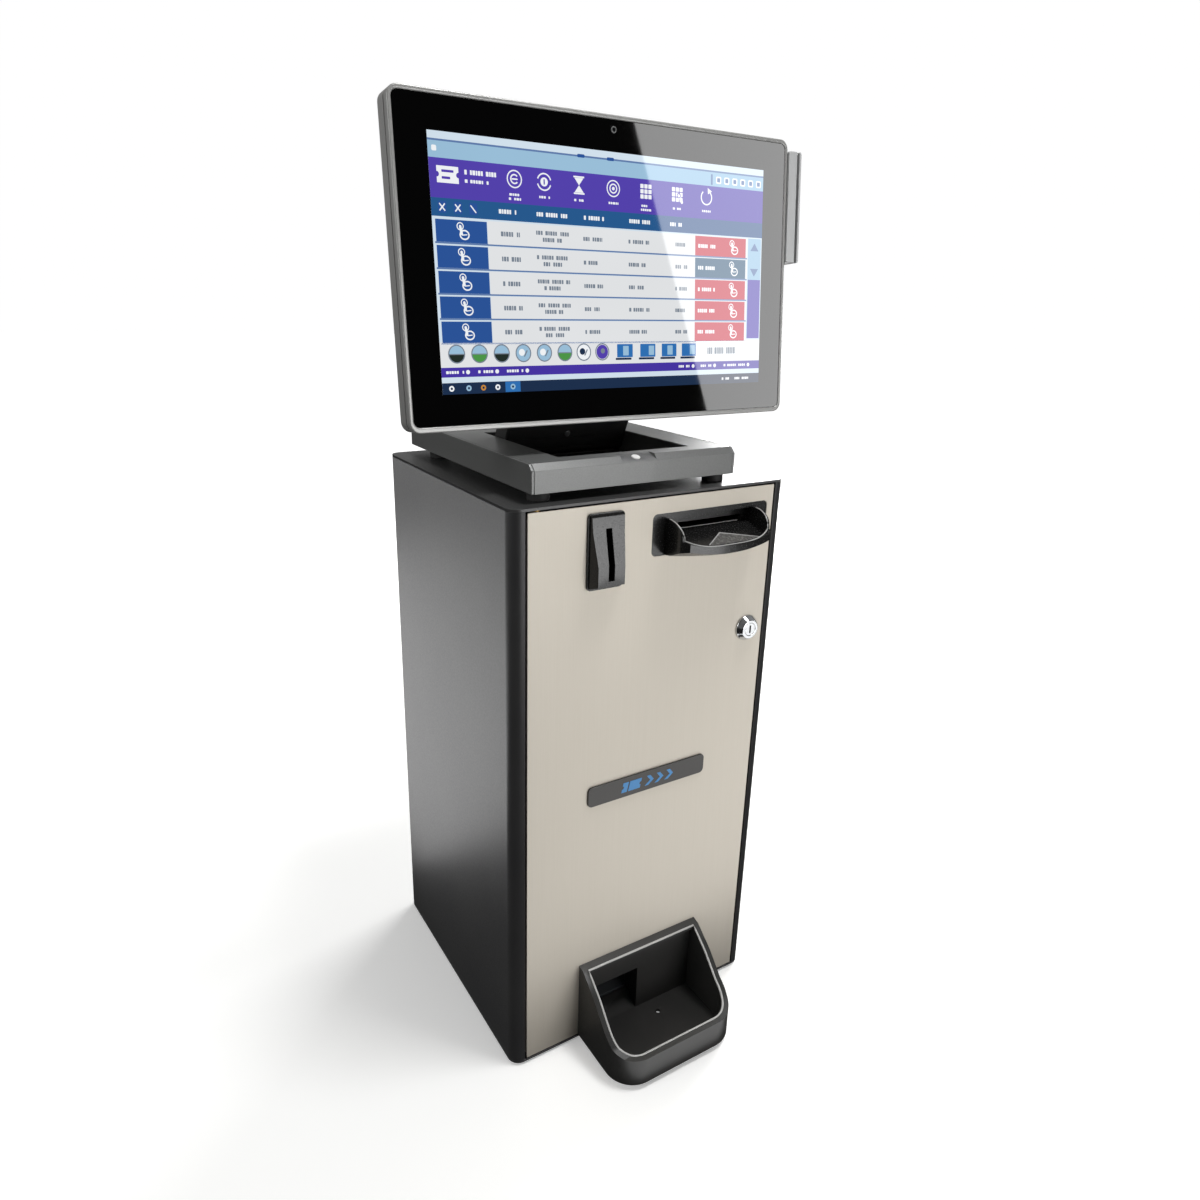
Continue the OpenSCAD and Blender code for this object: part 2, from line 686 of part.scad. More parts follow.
// Side view of the tray's outer walls, in y and z
module tray_side() {
    fall = ear_top_z - lip_end_z;
    run = tray_ear - ear_root;
    polygon(concat(
        [[skin_y, tray_low], [front_y - tray_out + 2, tray_low + 3],
         [front_y - tray_out - cut, tray_low + 5], [front_y - tray_out - cut, lip_end_z]],
        [for (a = [0 : 9 : 90]) [front_y - tray_ear + run * (1 - cos(a)), lip_end_z + fall * sin(a)]],
        [[skin_y, ear_top_z]]));
}

// Plan of the tray: straight sides, round front corners and a front edge bowed out to an arc
module tray_plan(inset) {
    r = tray_r - inset;
    intersection() {
        union() {
            translate([note_x - tray_w / 2 + inset, front_y - tray_out + tray_r])
                square([tray_w - 2 * inset, tray_out - tray_r + tray_back]);
            translate([note_x - tray_w / 2 + tray_r, front_y - tray_out + inset])
                square([tray_w - 2 * tray_r, tray_r]);
            for (side = [-1, 1])
                translate([note_x + side * (tray_w / 2 - tray_r), front_y - tray_out + tray_r])
                    circle(r = r, $fn = 64);
        }
        translate([note_x, front_y - tray_out + bow_r]) circle(r = bow_r - inset, $fn = 180);
    }
}

// Flat passage that the note runs through
module bill_path(y0, y1) {
    box([note_x - bill_w / 2, y0, bill_z - bill_h / 2], [note_x + bill_w / 2, y1, bill_z + bill_h / 2]);
}

module note_bezel() color("#1f1f20") difference() {
    union() {
        upright(front_y + 0.8, 3) translate([note_x, note_z])
            rounded_rect(note_w - 2 * mouth_clear, note_h - 2 * mouth_clear, mouth_r - mouth_clear);
        upright(skin_y, 2.5) translate([note_x, note_z])
            rounded_rect(note_w + flange_over, note_h + 2 * flange_over, mouth_r);
        upright(skin_y + 2, head_y - skin_y - 2) translate([note_x, bill_z])
            rounded_rect(bill_w + 10, bill_h + 10, 2);
        // Housing behind the flange, round the hollow
        box([note_x - tray_w / 2, skin_y, bill_z - bill_h / 2 - tray_wall],
            [note_x + tray_w / 2, front_y + tray_back + 2, ear_top_z + tray_wall]);
        intersection() {
            across(note_x - tray_w / 2, tray_w) tray_side();
            translate([0, 0, tray_low - cut]) linear_extrude(note_h + 2 * cut) tray_plan(0);
            translate([note_x, front_y - tray_out, tray_low + keel_up]) rotate([-keel_tilt, 0, 0])
                translate([0, 0, keel_r]) rotate([90, 0, 0])
                    cylinder(h = 240, r = keel_r, center = true, $fn = 180);
        }
    }
    // Hollow of the tray, whose floor falls from the slot to the lip
    intersection() {
        translate([0, 0, tray_low]) linear_extrude(2 * note_h) tray_plan(tray_wall);
        across(note_x - tray_w / 2, tray_w) polygon([
            [front_y - tray_out - cut, lip_mid_z - 1.5], [front_y - tray_out + 8, lip_mid_z - 1.5],
            [front_y + tray_back, bill_z - bill_h / 2], [front_y + tray_back, ear_top_z],
            [front_y + 0.4, ear_top_z], [front_y + 0.4, ear_top_z + note_h],
            [front_y - tray_out - cut, ear_top_z + note_h]]);
    }
    // Upper edge of the lip, between the side walls
    upright(front_y - tray_out - cut, tray_out - tray_ear + cut) polygon(concat(
        [for (t = [-1 : 0.1 : 1])
            [note_x + t * tray_w / 2, lip_mid_z + (lip_end_z - lip_mid_z) * pow(abs(t), lip_curve)]],
        [[note_x + tray_w / 2, ear_top_z], [note_x - tray_w / 2, ear_top_z]]));
    bill_path(front_y - cut, head_y + cut);
}

module note_head() color("#303235") difference() {
    box([note_x - head_w / 2, head_y, head_z], [note_x + head_w / 2, head_y + head_d, head_z + head_h]);
    bill_path(head_y - cut, head_y + head_d - 12);
    rod_x(note_x - roller_len / 2 - 1, note_x + roller_len / 2 + 1, roller_y, feed_z, feed_r + 1);
    rod_x(note_x - roller_len / 2 - 1, note_x + roller_len / 2 + 1, roller_y, pinch_z, pinch_r + 1);
    for (z = [feed_z, pinch_z])
        rod_x(note_x - head_w / 2 - cut, note_x + head_w / 2 + cut, roller_y, z, axle_r + run_clear);
    box([note_x - bill_w / 2 + 5, head_y + head_d - 20, head_z - cut],
        [note_x + bill_w / 2 - 5, head_y + head_d - 12, bill_z]);
}

module roller(z, r) {
    rod_x(note_x - roller_len / 2, note_x + roller_len / 2, roller_y, z, r);
    rod_x(note_x - head_w / 2, note_x + head_w / 2, roller_y, z, axle_r);
}

module feed_roller() color("#d8d4c8") roller(feed_z, feed_r);
module pinch_roller() color("#8f9294") roller(pinch_z, pinch_r);

module note_cassette() color("#3f4246") difference() {
    box([note_x - cassette_w / 2, fold_y, head_z - cassette_h],
        [note_x + cassette_w / 2, fold_y + cassette_d, head_z]);
    box([note_x - 26, fold_y + cassette_d - 12, head_z - cassette_h + 18],
        [note_x + 26, fold_y + cassette_d + cut, head_z - cassette_h + 40]);
}

module lock_body() color("#d9dadb") difference() {
    translate([lock_x, front_y, lock_z]) rotate([90, 0, 0]) rotate_extrude($fn = 96)
        polygon([
            [0, -cam_y + front_y + 0.5], [barrel_r, -cam_y + front_y + 0.5], [barrel_r, 0], [lock_r, 0],
            [lock_r, 1.6], [lock_r - 0.8, 2.6], [plug_r + 3.2, lock_out], [0, lock_out]]);
    rod_y(front_y - lock_out + 0.8, cam_y + cut, lock_x, lock_z, plug_r + run_clear);
    rod_y(front_y - lock_out - cut, front_y - lock_out + 1, lock_x, lock_z, plug_r + run_clear);
}

module lock_nut() color("#a5a7a8") difference() {
    translate([lock_x, skin_y + 3, lock_z]) rotate([90, 0, 0]) cylinder(h = 3, r = 13, $fn = 6);
    rod_y(skin_y - cut, skin_y + 3 + cut, lock_x, lock_z, barrel_r);
}

module lock_plug() color("#e4e5e6") difference() {
    union() {
        rod_y(front_y - lock_out + 0.4, cam_y - 0.5, lock_x, lock_z, plug_r);
        box([lock_x - 3, cam_y - 0.5, lock_z - 3], [lock_x + 3, cam_y + cam_t + 1.5, lock_z + 3]);
    }
    box([lock_x - 0.9, front_y - lock_out - cut, lock_z - 4], [lock_x + 0.9, front_y + 10, lock_z + 4]);
}

module lock_cam() color("#a5a7a8") difference() {
    upright(cam_y, cam_t) translate([lock_x, lock_z]) {
        circle(r = cam_w / 2 + 1);
        translate([-cam_w / 2, -cam_len]) square([cam_w, cam_len]);
    }
    box([lock_x - 3, cam_y - cut, lock_z - 3], [lock_x + 3, cam_y + cam_t + cut, lock_z + 3]);
}

module badge_plate() color("#454341") upright(front_y - 2, 2) translate([0, badge_z])
    rounded_rect(badge_w, badge_h, 5);

// Cup that catches the coins paid out

module cup_plan(inset) {
    r = cup_r - inset;
    translate([-cup_w / 2 + inset, front_y - cup_out + cup_r]) square([cup_w - 2 * inset, cup_out - cup_r]);
    translate([-cup_w / 2 + cup_r, front_y - cup_out + inset]) square([cup_w - 2 * cup_r, cup_r]);
    for (side = [-1, 1])
        translate([side * (cup_w / 2 - cup_r), front_y - cup_out + cup_r]) circle(r = r, $fn = 96);
}

module coin_cup() color("#242424") difference() {
    union() {
        intersection() {
            translate([0, 0, cup_low]) linear_extrude(cup_h) cup_plan(0);
            across(-cup_w / 2, cup_w) translate([front_y, cup_low]) polygon([
                [0, 0], [0, cup_h], [-cup_rim_d, cup_h - 2.5], [-30, cup_h - 20], [-50, cup_h - 42],
                [-64, cup_front_h + 5], [-76, cup_front_h], [-cup_out, cup_front_h - 1], [-cup_out, 0]]);
        }
        // Collar that lines the way through the door
        across(window_x - collar_t, window_w + 2 * collar_t) polygon([
            [front_y - cut, window_z], [skin_y, window_z], [collar_y, ramp_z - 3],
            [collar_y, window_z + window_h + collar_t], [front_y - cut, window_z + window_h + collar_t]]);
    }
    translate([0, 0, cup_low + cup_floor]) linear_extrude(cup_h) difference() {
        cup_plan(cup_wall);
        translate([-cup_w / 2, front_y - cup_rim_d]) square([cup_w, cup_rim_d + cut]);
    }
    box([-cup_w / 2 + cup_wall, front_y - cup_rim_d - cut, cup_low + cup_floor],
        [cup_w / 2 - cup_wall, front_y - cup_floor, cup_low + cup_h - cup_rim_h]);
    across(window_x, window_w) polygon([
        [front_y - cup_floor - cut, window_z], [front_y - cup_floor, window_z], [collar_y + cut, ramp_z],
        [collar_y + cut, window_z + window_h], [front_y - cup_floor - cut, window_z + window_h]]);
    for (p = cup_screws) rod_y(front_y - cup_floor, front_y + cut, p[0], p[1], 1.7);
    translate([16, front_y - 20, cup_low - cut]) cylinder(h = cup_floor + 2 * cut, r = 2.5);
}

module door_screws() color("#c8c8c8") for (p = cup_screws)
    translate([p[0], skin_y, p[1]]) rotate([-90, 0, 0]) screw(1.7, door_t + cup_floor, 3.5, 2);

// Terminal base

// Side view of the base, whose upper front edge is chamfered
module base_side() {
    polygon([
        [base_y, base_z], [base_y, base_top_z - base_cham], [base_y + base_cham, base_top_z],
        [base_y + base_d, base_top_z], [base_y + base_d, base_z]]);
}

module well_cut(grow, z0, z1) {
    box([term_x - well_w / 2 - grow, well_y - grow, z0],
        [term_x + well_w / 2 + grow, well_y + well_len + grow, z1]);
}

// Sloping place of the power button, whose local z is the slope's normal
module at_button() {
    translate([term_x, base_y + scoop_d / 2, base_top_z - scoop_drop / 2])
        rotate([scoop_a, 0, 0]) children();
}

module base_housing() color("#8b8c8b") difference() {
    across(term_x - base_w / 2 + cheek_t, base_w - 2 * cheek_t) difference() {
        base_side();
        translate([0, -cut]) polygon([
            [base_y + base_t, base_z], [base_y + base_t, base_top_z - base_cham - base_t + cut],
            [base_y + base_cham + base_t, base_top_z - base_t - scoop_drop + cut],
            [base_y + scoop_d + 2 * base_t, base_top_z - base_t + cut],
            [base_y + base_d - base_t, base_top_z - base_t + cut], [base_y + base_d - base_t, base_z]]);
    }
    well_cut(well_t, base_z - cut, base_top_z - 1);
    well_cut(0, base_z - cut, base_top_z + cut);
    across(term_x - plate_w / 2, plate_w) polygon([
        [base_y - cut, base_top_z - scoop_drop - cut * tan(scoop_a)], [base_y + scoop_d, base_top_z],
        [base_y + scoop_d, base_top_z + cut], [base_y - cut, base_top_z + cut]]);
    at_button() {
        translate([0, 0, -12]) cylinder(h = 20, r = button_r + 0.2);
        translate([0, 0, -button_depth - button_travel - 0.5])
            cylinder(h = button_travel + 2.2, r = button_r + 1.8);
    }
}

module base_cheeks() color("#7f8080") for (side = [-1, 1])
    across(term_x + side * (base_w - cheek_t) / 2 - cheek_t / 2, cheek_t) base_side();

module base_plate() color("#55585a") difference() {
    box([term_x - base_w / 2 + cheek_t, base_y + base_t, base_z],
        [term_x + base_w / 2 - cheek_t, base_y + base_d - base_t, base_z + plate_t]);
    well_cut(well_t, base_z - cut, base_z + plate_t + cut);
    translate([term_x, base_y + base_d - 70, base_z - cut]) cylinder(h = plate_t + 2 * cut, r = 14);
    for (side = [-1, 1], y = foot_ys)
        translate([term_x + side * foot_x, y, base_z - cut]) cylinder(h = plate_t + 2 * cut, r = 2);
}

module base_well() color("#161616") difference() {
    well_cut(well_t, base_z, base_top_z - 1);
    well_cut(0, base_z + plate_t, base_top_z + cut);
    rod_x(term_x - well_out - cut, term_x + well_out + cut, foot_hinge[0], foot_hinge[1], foot_pin_r);
}

module base_feet() color("#222222") for (side = [-1, 1], y = foot_ys)
    translate([term_x + side * foot_x, y, top_z]) difference() {
        cylinder(h = foot_h, r = foot_r);
        translate([0, 0, -cut]) cylinder(h = foot_h + 2 * cut, r = 2.2);
    }

module base_screws() color("#b8b9ba") for (side = [-1, 1], y = foot_ys)
    translate([term_x + side * foot_x, y, roof_z])
        rotate([180, 0, 0]) screw(2, cap_t + foot_h + plate_t, 4.5, 2.5);

module mainboard() color("#1f5f39") {
    y0 = well_y + well_len + well_t + 4;
    y1 = base_y + base_d - base_t - 4;
    z = base_z + plate_t + 4;
    difference() {
        box([term_x - 85, y0, z], [term_x + 85, y1, z + 1.6]);
        translate([term_x, base_y + base_d - 70, z - cut]) cylinder(h = 4, r = 14);
    }
    for (side = [-1, 1], y = [y0 + 6, y1 - 6])
        translate([term_x + side * 79, y, base_z + plate_t]) cylinder(h = 4, r = 3);
    box([term_x + 20, y0 + 10, z + 1.6], [term_x + 60, y0 + 50, z + 9]);
    for (i = [0 : 3]) box([term_x - 70 + 22 * i, y1 - 14, z + 1.6], [term_x - 56 + 22 * i, y1, z + 9]);
}

module power_button() color("#f2f2f0") at_button() translate([0, 0, -button_depth]) {
    cylinder(h = button_depth + 0.6, r = button_r);
    cylinder(h = 1.5, r = button_r + 1.5);
}

// Neck

// Places a shape drawn along the leaning neck, whose local z runs from the foot hinge to the head hinge
module along_neck() {
    translate([term_x, foot_hinge[0], foot_hinge[1]]) rotate([neck_lean, 0, 0]) children();
}

module foot_hinge_pin() color("#a5a7a8")
    rod_x(term_x - well_out - 4, term_x + well_out + 4, foot_hinge[0], foot_hinge[1], foot_pin_r);

module neck_arm() color("#191919") along_neck() difference() {
    union() {
        rod_x(-neck_w / 2, neck_w / 2, 0, 0, knuckle_r);
        across(-neck_w / 2, neck_w) polygon([
            [neck_t / 2, 0], [neck_t / 2, neck_len - 24], [-neck_t / 2, neck_len - 24], [-neck_t / 2, 0]]);
        across(-ear_x + 1, 2 * ear_x - 2) polygon([
            [neck_t / 2, neck_len - 25], [head_knuckle_r, neck_len],
            [-head_knuckle_r, neck_len], [-neck_t / 2, neck_len - 25]]);
        rod_x(-ear_x + 1, ear_x - 1, 0, neck_len, head_knuckle_r);
    }
    rod_x(-neck_w / 2 - cut, neck_w / 2 + cut, 0, 0, foot_pin_r + run_clear);
    rod_x(-ear_x - cut, ear_x + cut, 0, neck_len, head_pin_r);
    box([-neck_w / 2 + 3, -neck_t / 2 - cut, 14], [neck_w / 2 - 3, -neck_t / 2 + cover_t, neck_len - 28]);
    rod_y(-neck_t / 2, neck_t / 2 - 2, 0, neck_screw_z, 1.8);
}

module neck_cover() color("#202020") along_neck() difference() {
    box([-neck_w / 2 + 3.2, -neck_t / 2, 14.2], [neck_w / 2 - 3.2, -neck_t / 2 + cover_t, neck_len - 28.2]);
    rod_y(-neck_t / 2 - cut, neck_t / 2, 0, neck_screw_z, 1.8);
    rod_y(-neck_t / 2 - cut, -neck_t / 2 + 1.2, 0, neck_screw_z, 3.4);
}

module neck_screw() color("#8a8b8c") along_neck() translate([0, -neck_t / 2 + 1.2, neck_screw_z])
    rotate([90, 0, 0]) screw(1.8, 12, 3.3, 1);

module head_hinge_pin() color("#a5a7a8") along_neck()
    rod_x(-ear_x - ear_t - 2, ear_x + ear_t + 2, 0, neck_len, head_pin_r);

// Screen

// Places a shape drawn in the screen's own frame
module on_screen() {
    translate([term_x, head_hinge[0], head_hinge[1]]) rotate([-screen_lean, 0, 0])
        translate([0, -hinge_deep, hinge_low]) children();
}

module slab(w, h, r, y0, t) {
    upright(y0, t) translate([0, bezel_mid]) rounded_rect(w, h, r);
}

module screen_bezel() color("#9c9c9a") on_screen() difference() {
    slab(bezel_w, bezel_h, bezel_r, -1, bezel_d);
    upright(-2, bezel_d + 2) rounded_rect(glass_w + 0.4, glass_h + 0.4, bezel_r - bezel_side + 0.2);
}

module cover_glass() color("#0c0c0d") on_screen() difference() {
    upright(0, glass_t) rounded_rect(glass_w, glass_h, bezel_r - bezel_side);
    rod_y(-cut, glass_t + cut, 0, cam_z, cam_hole_r + 0.1);
}

module webcam() color("#303338") on_screen() {
    rod_y(0.1, glass_t, 0, cam_z, cam_hole_r);
    rod_y(glass_t, glass_t + 3, 0, cam_z, 5);
}

module display_panel() color("#27292c") on_screen()
    box([-picture_w / 2 - 9, glass_t, -picture_h / 2 - 8],
        [picture_w / 2 + 9, glass_t + 8, picture_h / 2 + 8]);

// Rear shell: straight side walls, then a bulge that holds the electronics
module screen_back() color("#86888a") on_screen() difference() {
    union() {
        slab(bezel_w, bezel_h, bezel_r, bezel_d - 1 + seam, screen_side_d - bezel_d + 1 - seam);
        back_bulge(0);
    }
    slab(bezel_w - 2 * wall_t, bezel_h - 2 * wall_t, bezel_r - wall_t, 0, screen_side_d - wall_t);
    back_bulge(wall_t);
    for (i = [0 : 11], side = [-1, 1])
        box([side * 90 - 3 + 9 * (i - 5.5), screen_d - 2 * wall_t, 30],
            [side * 90 + 1 + 9 * (i - 5.5), screen_d + cut, 60]);
    bracket_holes(screen_d - 2 * wall_t, screen_d + cut);
}

module back_bulge(inset) {
    hull() {
        slab(bezel_w - 30 - 2 * inset, bezel_h - 24 - 2 * inset, 10, screen_side_d - 1 - inset, 0.5,
            $fn = 32);
        slab(bulge_w - 2 * inset, bulge_h - 2 * inset, 10, screen_d - 0.5 - inset, 0.5, $fn = 32);
    }
}

module bracket_holes(y0, y1) {
    for (sx = [-1, 1], z = [-35, 35]) rod_y(y0, y1, sx * 50, bracket_z + z, 2);
}

// Plate screwed to the rear shell, with two ears that turn on the head hinge pin
module screen_bracket() color("#1d1d1e") on_screen() difference() {
    union() {
        upright(screen_d, bracket_t) translate([0, bracket_z]) rounded_rect(bracket_w, bracket_h, 8);
        for (side = [-1, 1]) across(side * (ear_x + ear_t / 2) - ear_t / 2, ear_t) {
            translate([hinge_deep, -hinge_low]) circle(r = head_knuckle_r);
            translate([screen_d + bracket_t - 1, -hinge_low - head_knuckle_r])
                square([hinge_deep - screen_d - bracket_t + 1, 2 * head_knuckle_r]);
        }
    }
    rod_x(-ear_x - ear_t - cut, ear_x + ear_t + cut, hinge_deep, -hinge_low, head_pin_r + run_clear);
    bracket_holes(screen_d - cut, screen_d + bracket_t + cut);
}

module card_reader() color("#808284") on_screen() difference() {
    upright(-3, reader_d) translate([bezel_w / 2 + reader_out / 2, reader_z])
        rounded_rect(reader_out, reader_h, 2);
    box([bezel_w / 2 + reader_out - 2.5 - reader_slot, -3 - cut, reader_z - reader_h / 2 - cut],
        [bezel_w / 2 + reader_out - 2.5, reader_d - 12, reader_z + reader_h / 2 + cut]);
}

cabinet_wrap();
top_panel();
bottom_panel();
glides();
hinge_bushes();
lock_strike();
hopper_shelf();
hopper_bins();
hopper_bases();
hopper_disc_left();
hopper_disc_right();
sorter_chute();
sorter_flap();
coin_chute();
power_supply();
control_board();
power_inlet();
inlet_blades();
cable_grommet();
door_panel();
hinge_pins();
coin_bezel();
coin_validator();
validator_gate();
note_bezel();
note_head();
feed_roller();
pinch_roller();
note_cassette();
lock_body();
lock_nut();
lock_plug();
lock_cam();
badge_plate();
coin_cup();
door_screws();
base_housing();
base_cheeks();
base_plate();
base_well();
base_feet();
base_screws();
mainboard();
power_button();
foot_hinge_pin();
neck_arm();
neck_cover();
neck_screw();
head_hinge_pin();
screen_bracket();
screen_back();
screen_bezel();
cover_glass();
display_panel();
webcam();
card_reader();
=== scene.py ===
# Ticket vending machine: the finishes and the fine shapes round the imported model.
# Row frame in metres: the cabinet stands on the floor at the origin, its door faces -Y, +Z is up.
import json
import math

import bmesh
import bpy
from mathutils import Matrix, Vector


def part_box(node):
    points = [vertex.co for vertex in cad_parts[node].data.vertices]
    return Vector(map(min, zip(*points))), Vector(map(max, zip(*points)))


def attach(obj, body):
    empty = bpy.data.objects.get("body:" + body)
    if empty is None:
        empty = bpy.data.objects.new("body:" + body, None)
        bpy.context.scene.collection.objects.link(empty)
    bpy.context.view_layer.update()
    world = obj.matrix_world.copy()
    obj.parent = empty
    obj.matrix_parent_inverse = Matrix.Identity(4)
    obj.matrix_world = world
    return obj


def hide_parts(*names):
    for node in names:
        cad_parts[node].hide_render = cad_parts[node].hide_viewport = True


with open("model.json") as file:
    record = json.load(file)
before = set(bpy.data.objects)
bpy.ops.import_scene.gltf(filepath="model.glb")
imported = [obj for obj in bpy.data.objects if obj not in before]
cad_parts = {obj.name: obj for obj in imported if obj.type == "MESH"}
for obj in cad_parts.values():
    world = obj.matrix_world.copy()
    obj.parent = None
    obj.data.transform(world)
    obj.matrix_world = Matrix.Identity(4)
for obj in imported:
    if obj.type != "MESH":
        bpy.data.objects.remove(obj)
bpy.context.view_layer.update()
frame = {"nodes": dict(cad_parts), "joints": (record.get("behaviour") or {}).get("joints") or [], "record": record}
mm = 0.001


# Camera

cameraSettings = {
    "position": (-0.45051, -0.74788, 0.74840),
    "yaw": 31.43174,
    "pitch": -18.33378,
    "roll": 1.27635,
    "lens": 25.7114,
    "sensor": 36.0,
    "shiftX": 0.01607,
    "shiftY": -0.01701,
}


def addCamera(settings):
    yaw = math.radians(settings["yaw"])
    pitch = math.radians(settings["pitch"])
    roll = math.radians(settings["roll"])
    forward = Vector((math.sin(yaw) * math.cos(pitch), math.cos(yaw) * math.cos(pitch), math.sin(pitch)))
    right = Vector((math.cos(yaw), -math.sin(yaw), 0))
    up = right.cross(forward)
    rolledRight = math.cos(roll) * right + math.sin(roll) * up
    rolledUp = math.cos(roll) * up - math.sin(roll) * right
    turn = Matrix((rolledRight, rolledUp, -forward)).transposed()
    data = bpy.data.cameras.new("camera")
    data.lens = settings["lens"]
    data.sensor_width = settings["sensor"]
    data.shift_x = settings["shiftX"]
    data.shift_y = settings["shiftY"]
    data.clip_end = 100
    camera = bpy.data.objects.new("camera", data)
    camera.matrix_world = Matrix.Translation(settings["position"]) @ turn.to_4x4()
    bpy.context.scene.collection.objects.link(camera)
    bpy.context.scene.camera = camera
    return camera


camera = addCamera(cameraSettings)
bpy.context.scene.view_settings.view_transform = "Standard"


# The screen's own frame

def jointPlace(name):
    return Vector(next(j for j in frame["joints"] if j["name"] == name)["pos_m"])


screenPlace = {"lean": 5.08, "hingeBehind": 57 * mm, "hingeBelow": 65.4 * mm}
# Screen frame: x right, z up along the glass, y back from the glass's face
screenFrame = (
    Matrix.Translation(jointPlace("screen_tilt"))
    @ Matrix.Rotation(-math.radians(screenPlace["lean"]), 4, "X")
    @ Matrix.Translation((0, -screenPlace["hingeBehind"], screenPlace["hingeBelow"]))
)


# Mesh helpers

def placeMesh(name, points, faces, place=None):
    mesh = bpy.data.meshes.new(name)
    mesh.from_pydata([tuple(p) for p in points], [], faces)
    if place is not None:
        mesh.transform(place)
    mesh.update()
    piece = bpy.data.objects.new(name, mesh)
    bpy.context.scene.collection.objects.link(piece)
    return piece


def arcPoints(centre, radius, start, stop, steps):
    # points on an arc, angles in degrees
    found = []
    for i in range(steps + 1):
        angle = math.radians(start + (stop - start) * i / steps)
        found.append((centre[0] + radius * math.cos(angle), centre[1] + radius * math.sin(angle)))
    return found


def roundedOutline(width, height, radius, centre=(0, 0), steps=12):
    # counter-clockwise from the right side's lower corner
    outline = []
    for signX, signY, start in ((1, -1, 270), (1, 1, 0), (-1, 1, 90), (-1, -1, 180)):
        corner = (centre[0] + signX * (width / 2 - radius), centre[1] + signY * (height / 2 - radius))
        outline += arcPoints(corner, radius, start, start + 90, steps)
    return outline


def prism(name, outline, low, high, along="y", place=None):
    # a flat outline in the other two axes, drawn out from low to high
    def point(a, b, c):
        return {"x": (c, a, b), "y": (a, c, b), "z": (a, b, c)}[along]

    count = len(outline)
    points = [point(a, b, low) for a, b in outline] + [point(a, b, high) for a, b in outline]
    faces = [tuple(range(count)), tuple(reversed(range(count, 2 * count)))]
    for i in range(count):
        j = (i + 1) % count
        faces.append((i, i + count, j + count, j))
    piece = placeMesh(name, points, faces, place)
    fixNormals(piece)
    return piece


def strokeOutline(x0, y0, x1, y1, width, steps=6):
    # a straight stroke with round ends
    angle = math.degrees(math.atan2(y1 - y0, x1 - x0))
    outline = arcPoints((x1, y1), width / 2, angle - 90, angle + 90, steps)
    return outline + arcPoints((x0, y0), width / 2, angle + 90, angle + 270, steps)


def tube(name, outer, inner, low, high, place, centre=(0, 0), steps=48):
    # a ring standing along the local y axis
    loops = []
    for radius, y in ((outer, low), (outer, high), (inner, high), (inner, low)):
        loops.append([(a, y, b) for a, b in arcPoints(centre, radius, 0, 360, steps)[:-1]])
    points = [p for loop in loops for p in loop]
    faces = []
    for k in range(4):
        for i in range(steps):
            j, after = (i + 1) % steps, (k + 1) % 4
            faces.append((k * steps + i, k * steps + j, after * steps + j, after * steps + i))
    piece = placeMesh(name, points, faces, place)
    fixNormals(piece)
    return piece


def bead(name, path, radius, closed=False, steps=10):
    # a round bead swept along a path of points
    count = len(path)
    points = []
    for i, point in enumerate(path):
        before = path[i - 1] if closed or i else path[i]
        after = path[(i + 1) % count] if closed or i < count - 1 else path[i]
        along = (Vector(after) - Vector(before)).normalized()
        side = along.cross(Vector((0, 0, 1)) if abs(along.z) < 0.9 else Vector((0, 1, 0))).normalized()
        up = side.cross(along)
        points += [Vector(point) + side * a + up * b for a, b in arcPoints((0, 0), radius, 0, 360, steps)[:-1]]
    faces = []
    for i in range(count if closed else count - 1):
        for k in range(steps):
            a, b = i * steps, (i + 1) % count * steps
            faces.append((a + k, a + (k + 1) % steps, b + (k + 1) % steps, b + k))
    if not closed:
        faces += [tuple(range(steps)), tuple(range((count - 1) * steps, count * steps))]
    piece = placeMesh(name, points, faces)
    fixNormals(piece)
    for polygon in piece.data.polygons:
        polygon.use_smooth = True
    return piece


def merge(name, pieces):
    shape = bmesh.new()
    for piece in pieces:
        shape.from_mesh(piece.data)
        bpy.data.objects.remove(piece)
    mesh = bpy.data.meshes.new(name)
    shape.to_mesh(mesh)
    shape.free()
    merged = bpy.data.objects.new(name, mesh)
    bpy.context.scene.collection.objects.link(merged)
    return merged


def fixNormals(piece):
    shape = bmesh.new()
    shape.from_mesh(piece.data)
    bmesh.ops.remove_doubles(shape, verts=shape.verts, dist=0.001 * mm)
    bmesh.ops.recalc_face_normals(shape, faces=shape.faces)
    shape.to_mesh(piece.data)
    shape.free()


def soften(piece, radius, segments=3, angle=32):
    # rounds the sharp edges, and shades the rest smooth
    for polygon in piece.data.polygons:
        polygon.use_smooth = True
    edge = piece.modifiers.new("edge", "BEVEL")
    edge.width = radius
    edge.segments = segments
    edge.limit_method = "ANGLE"
    edge.angle_limit = math.radians(angle)
    edge.use_clamp_overlap = True
    edge.miter_outer = "MITER_ARC"
    shade = piece.modifiers.new("shade", "WEIGHTED_NORMAL")
    shade.weight = 80
    shade.mode = "FACE_AREA"
    return piece


def dress(piece, material, body, nodes=()):
    piece.data.materials.clear()
    piece.data.materials.append(material)
    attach(piece, body)
    if nodes:
        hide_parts(*nodes)
    return piece


# Material helpers

def linear(hexColour, alpha=1.0):
    parts = [int(hexColour[i:i + 2], 16) / 255 for i in (1, 3, 5)]
    return [p / 12.92 if p <= 0.04045 else ((p + 0.055) / 1.055) ** 2.4 for p in parts] + [alpha]


def addNode(tree, kind, settings=None, links=None):
    node = tree.nodes.new(kind)
    for key, value in (settings or {}).items():
        if isinstance(key, str) and hasattr(node, key):
            setattr(node, key, value)
        else:
            node.inputs[key].default_value = value
    for key, source in (links or {}).items():
        tree.links.new(source, node.inputs[key])
    return node


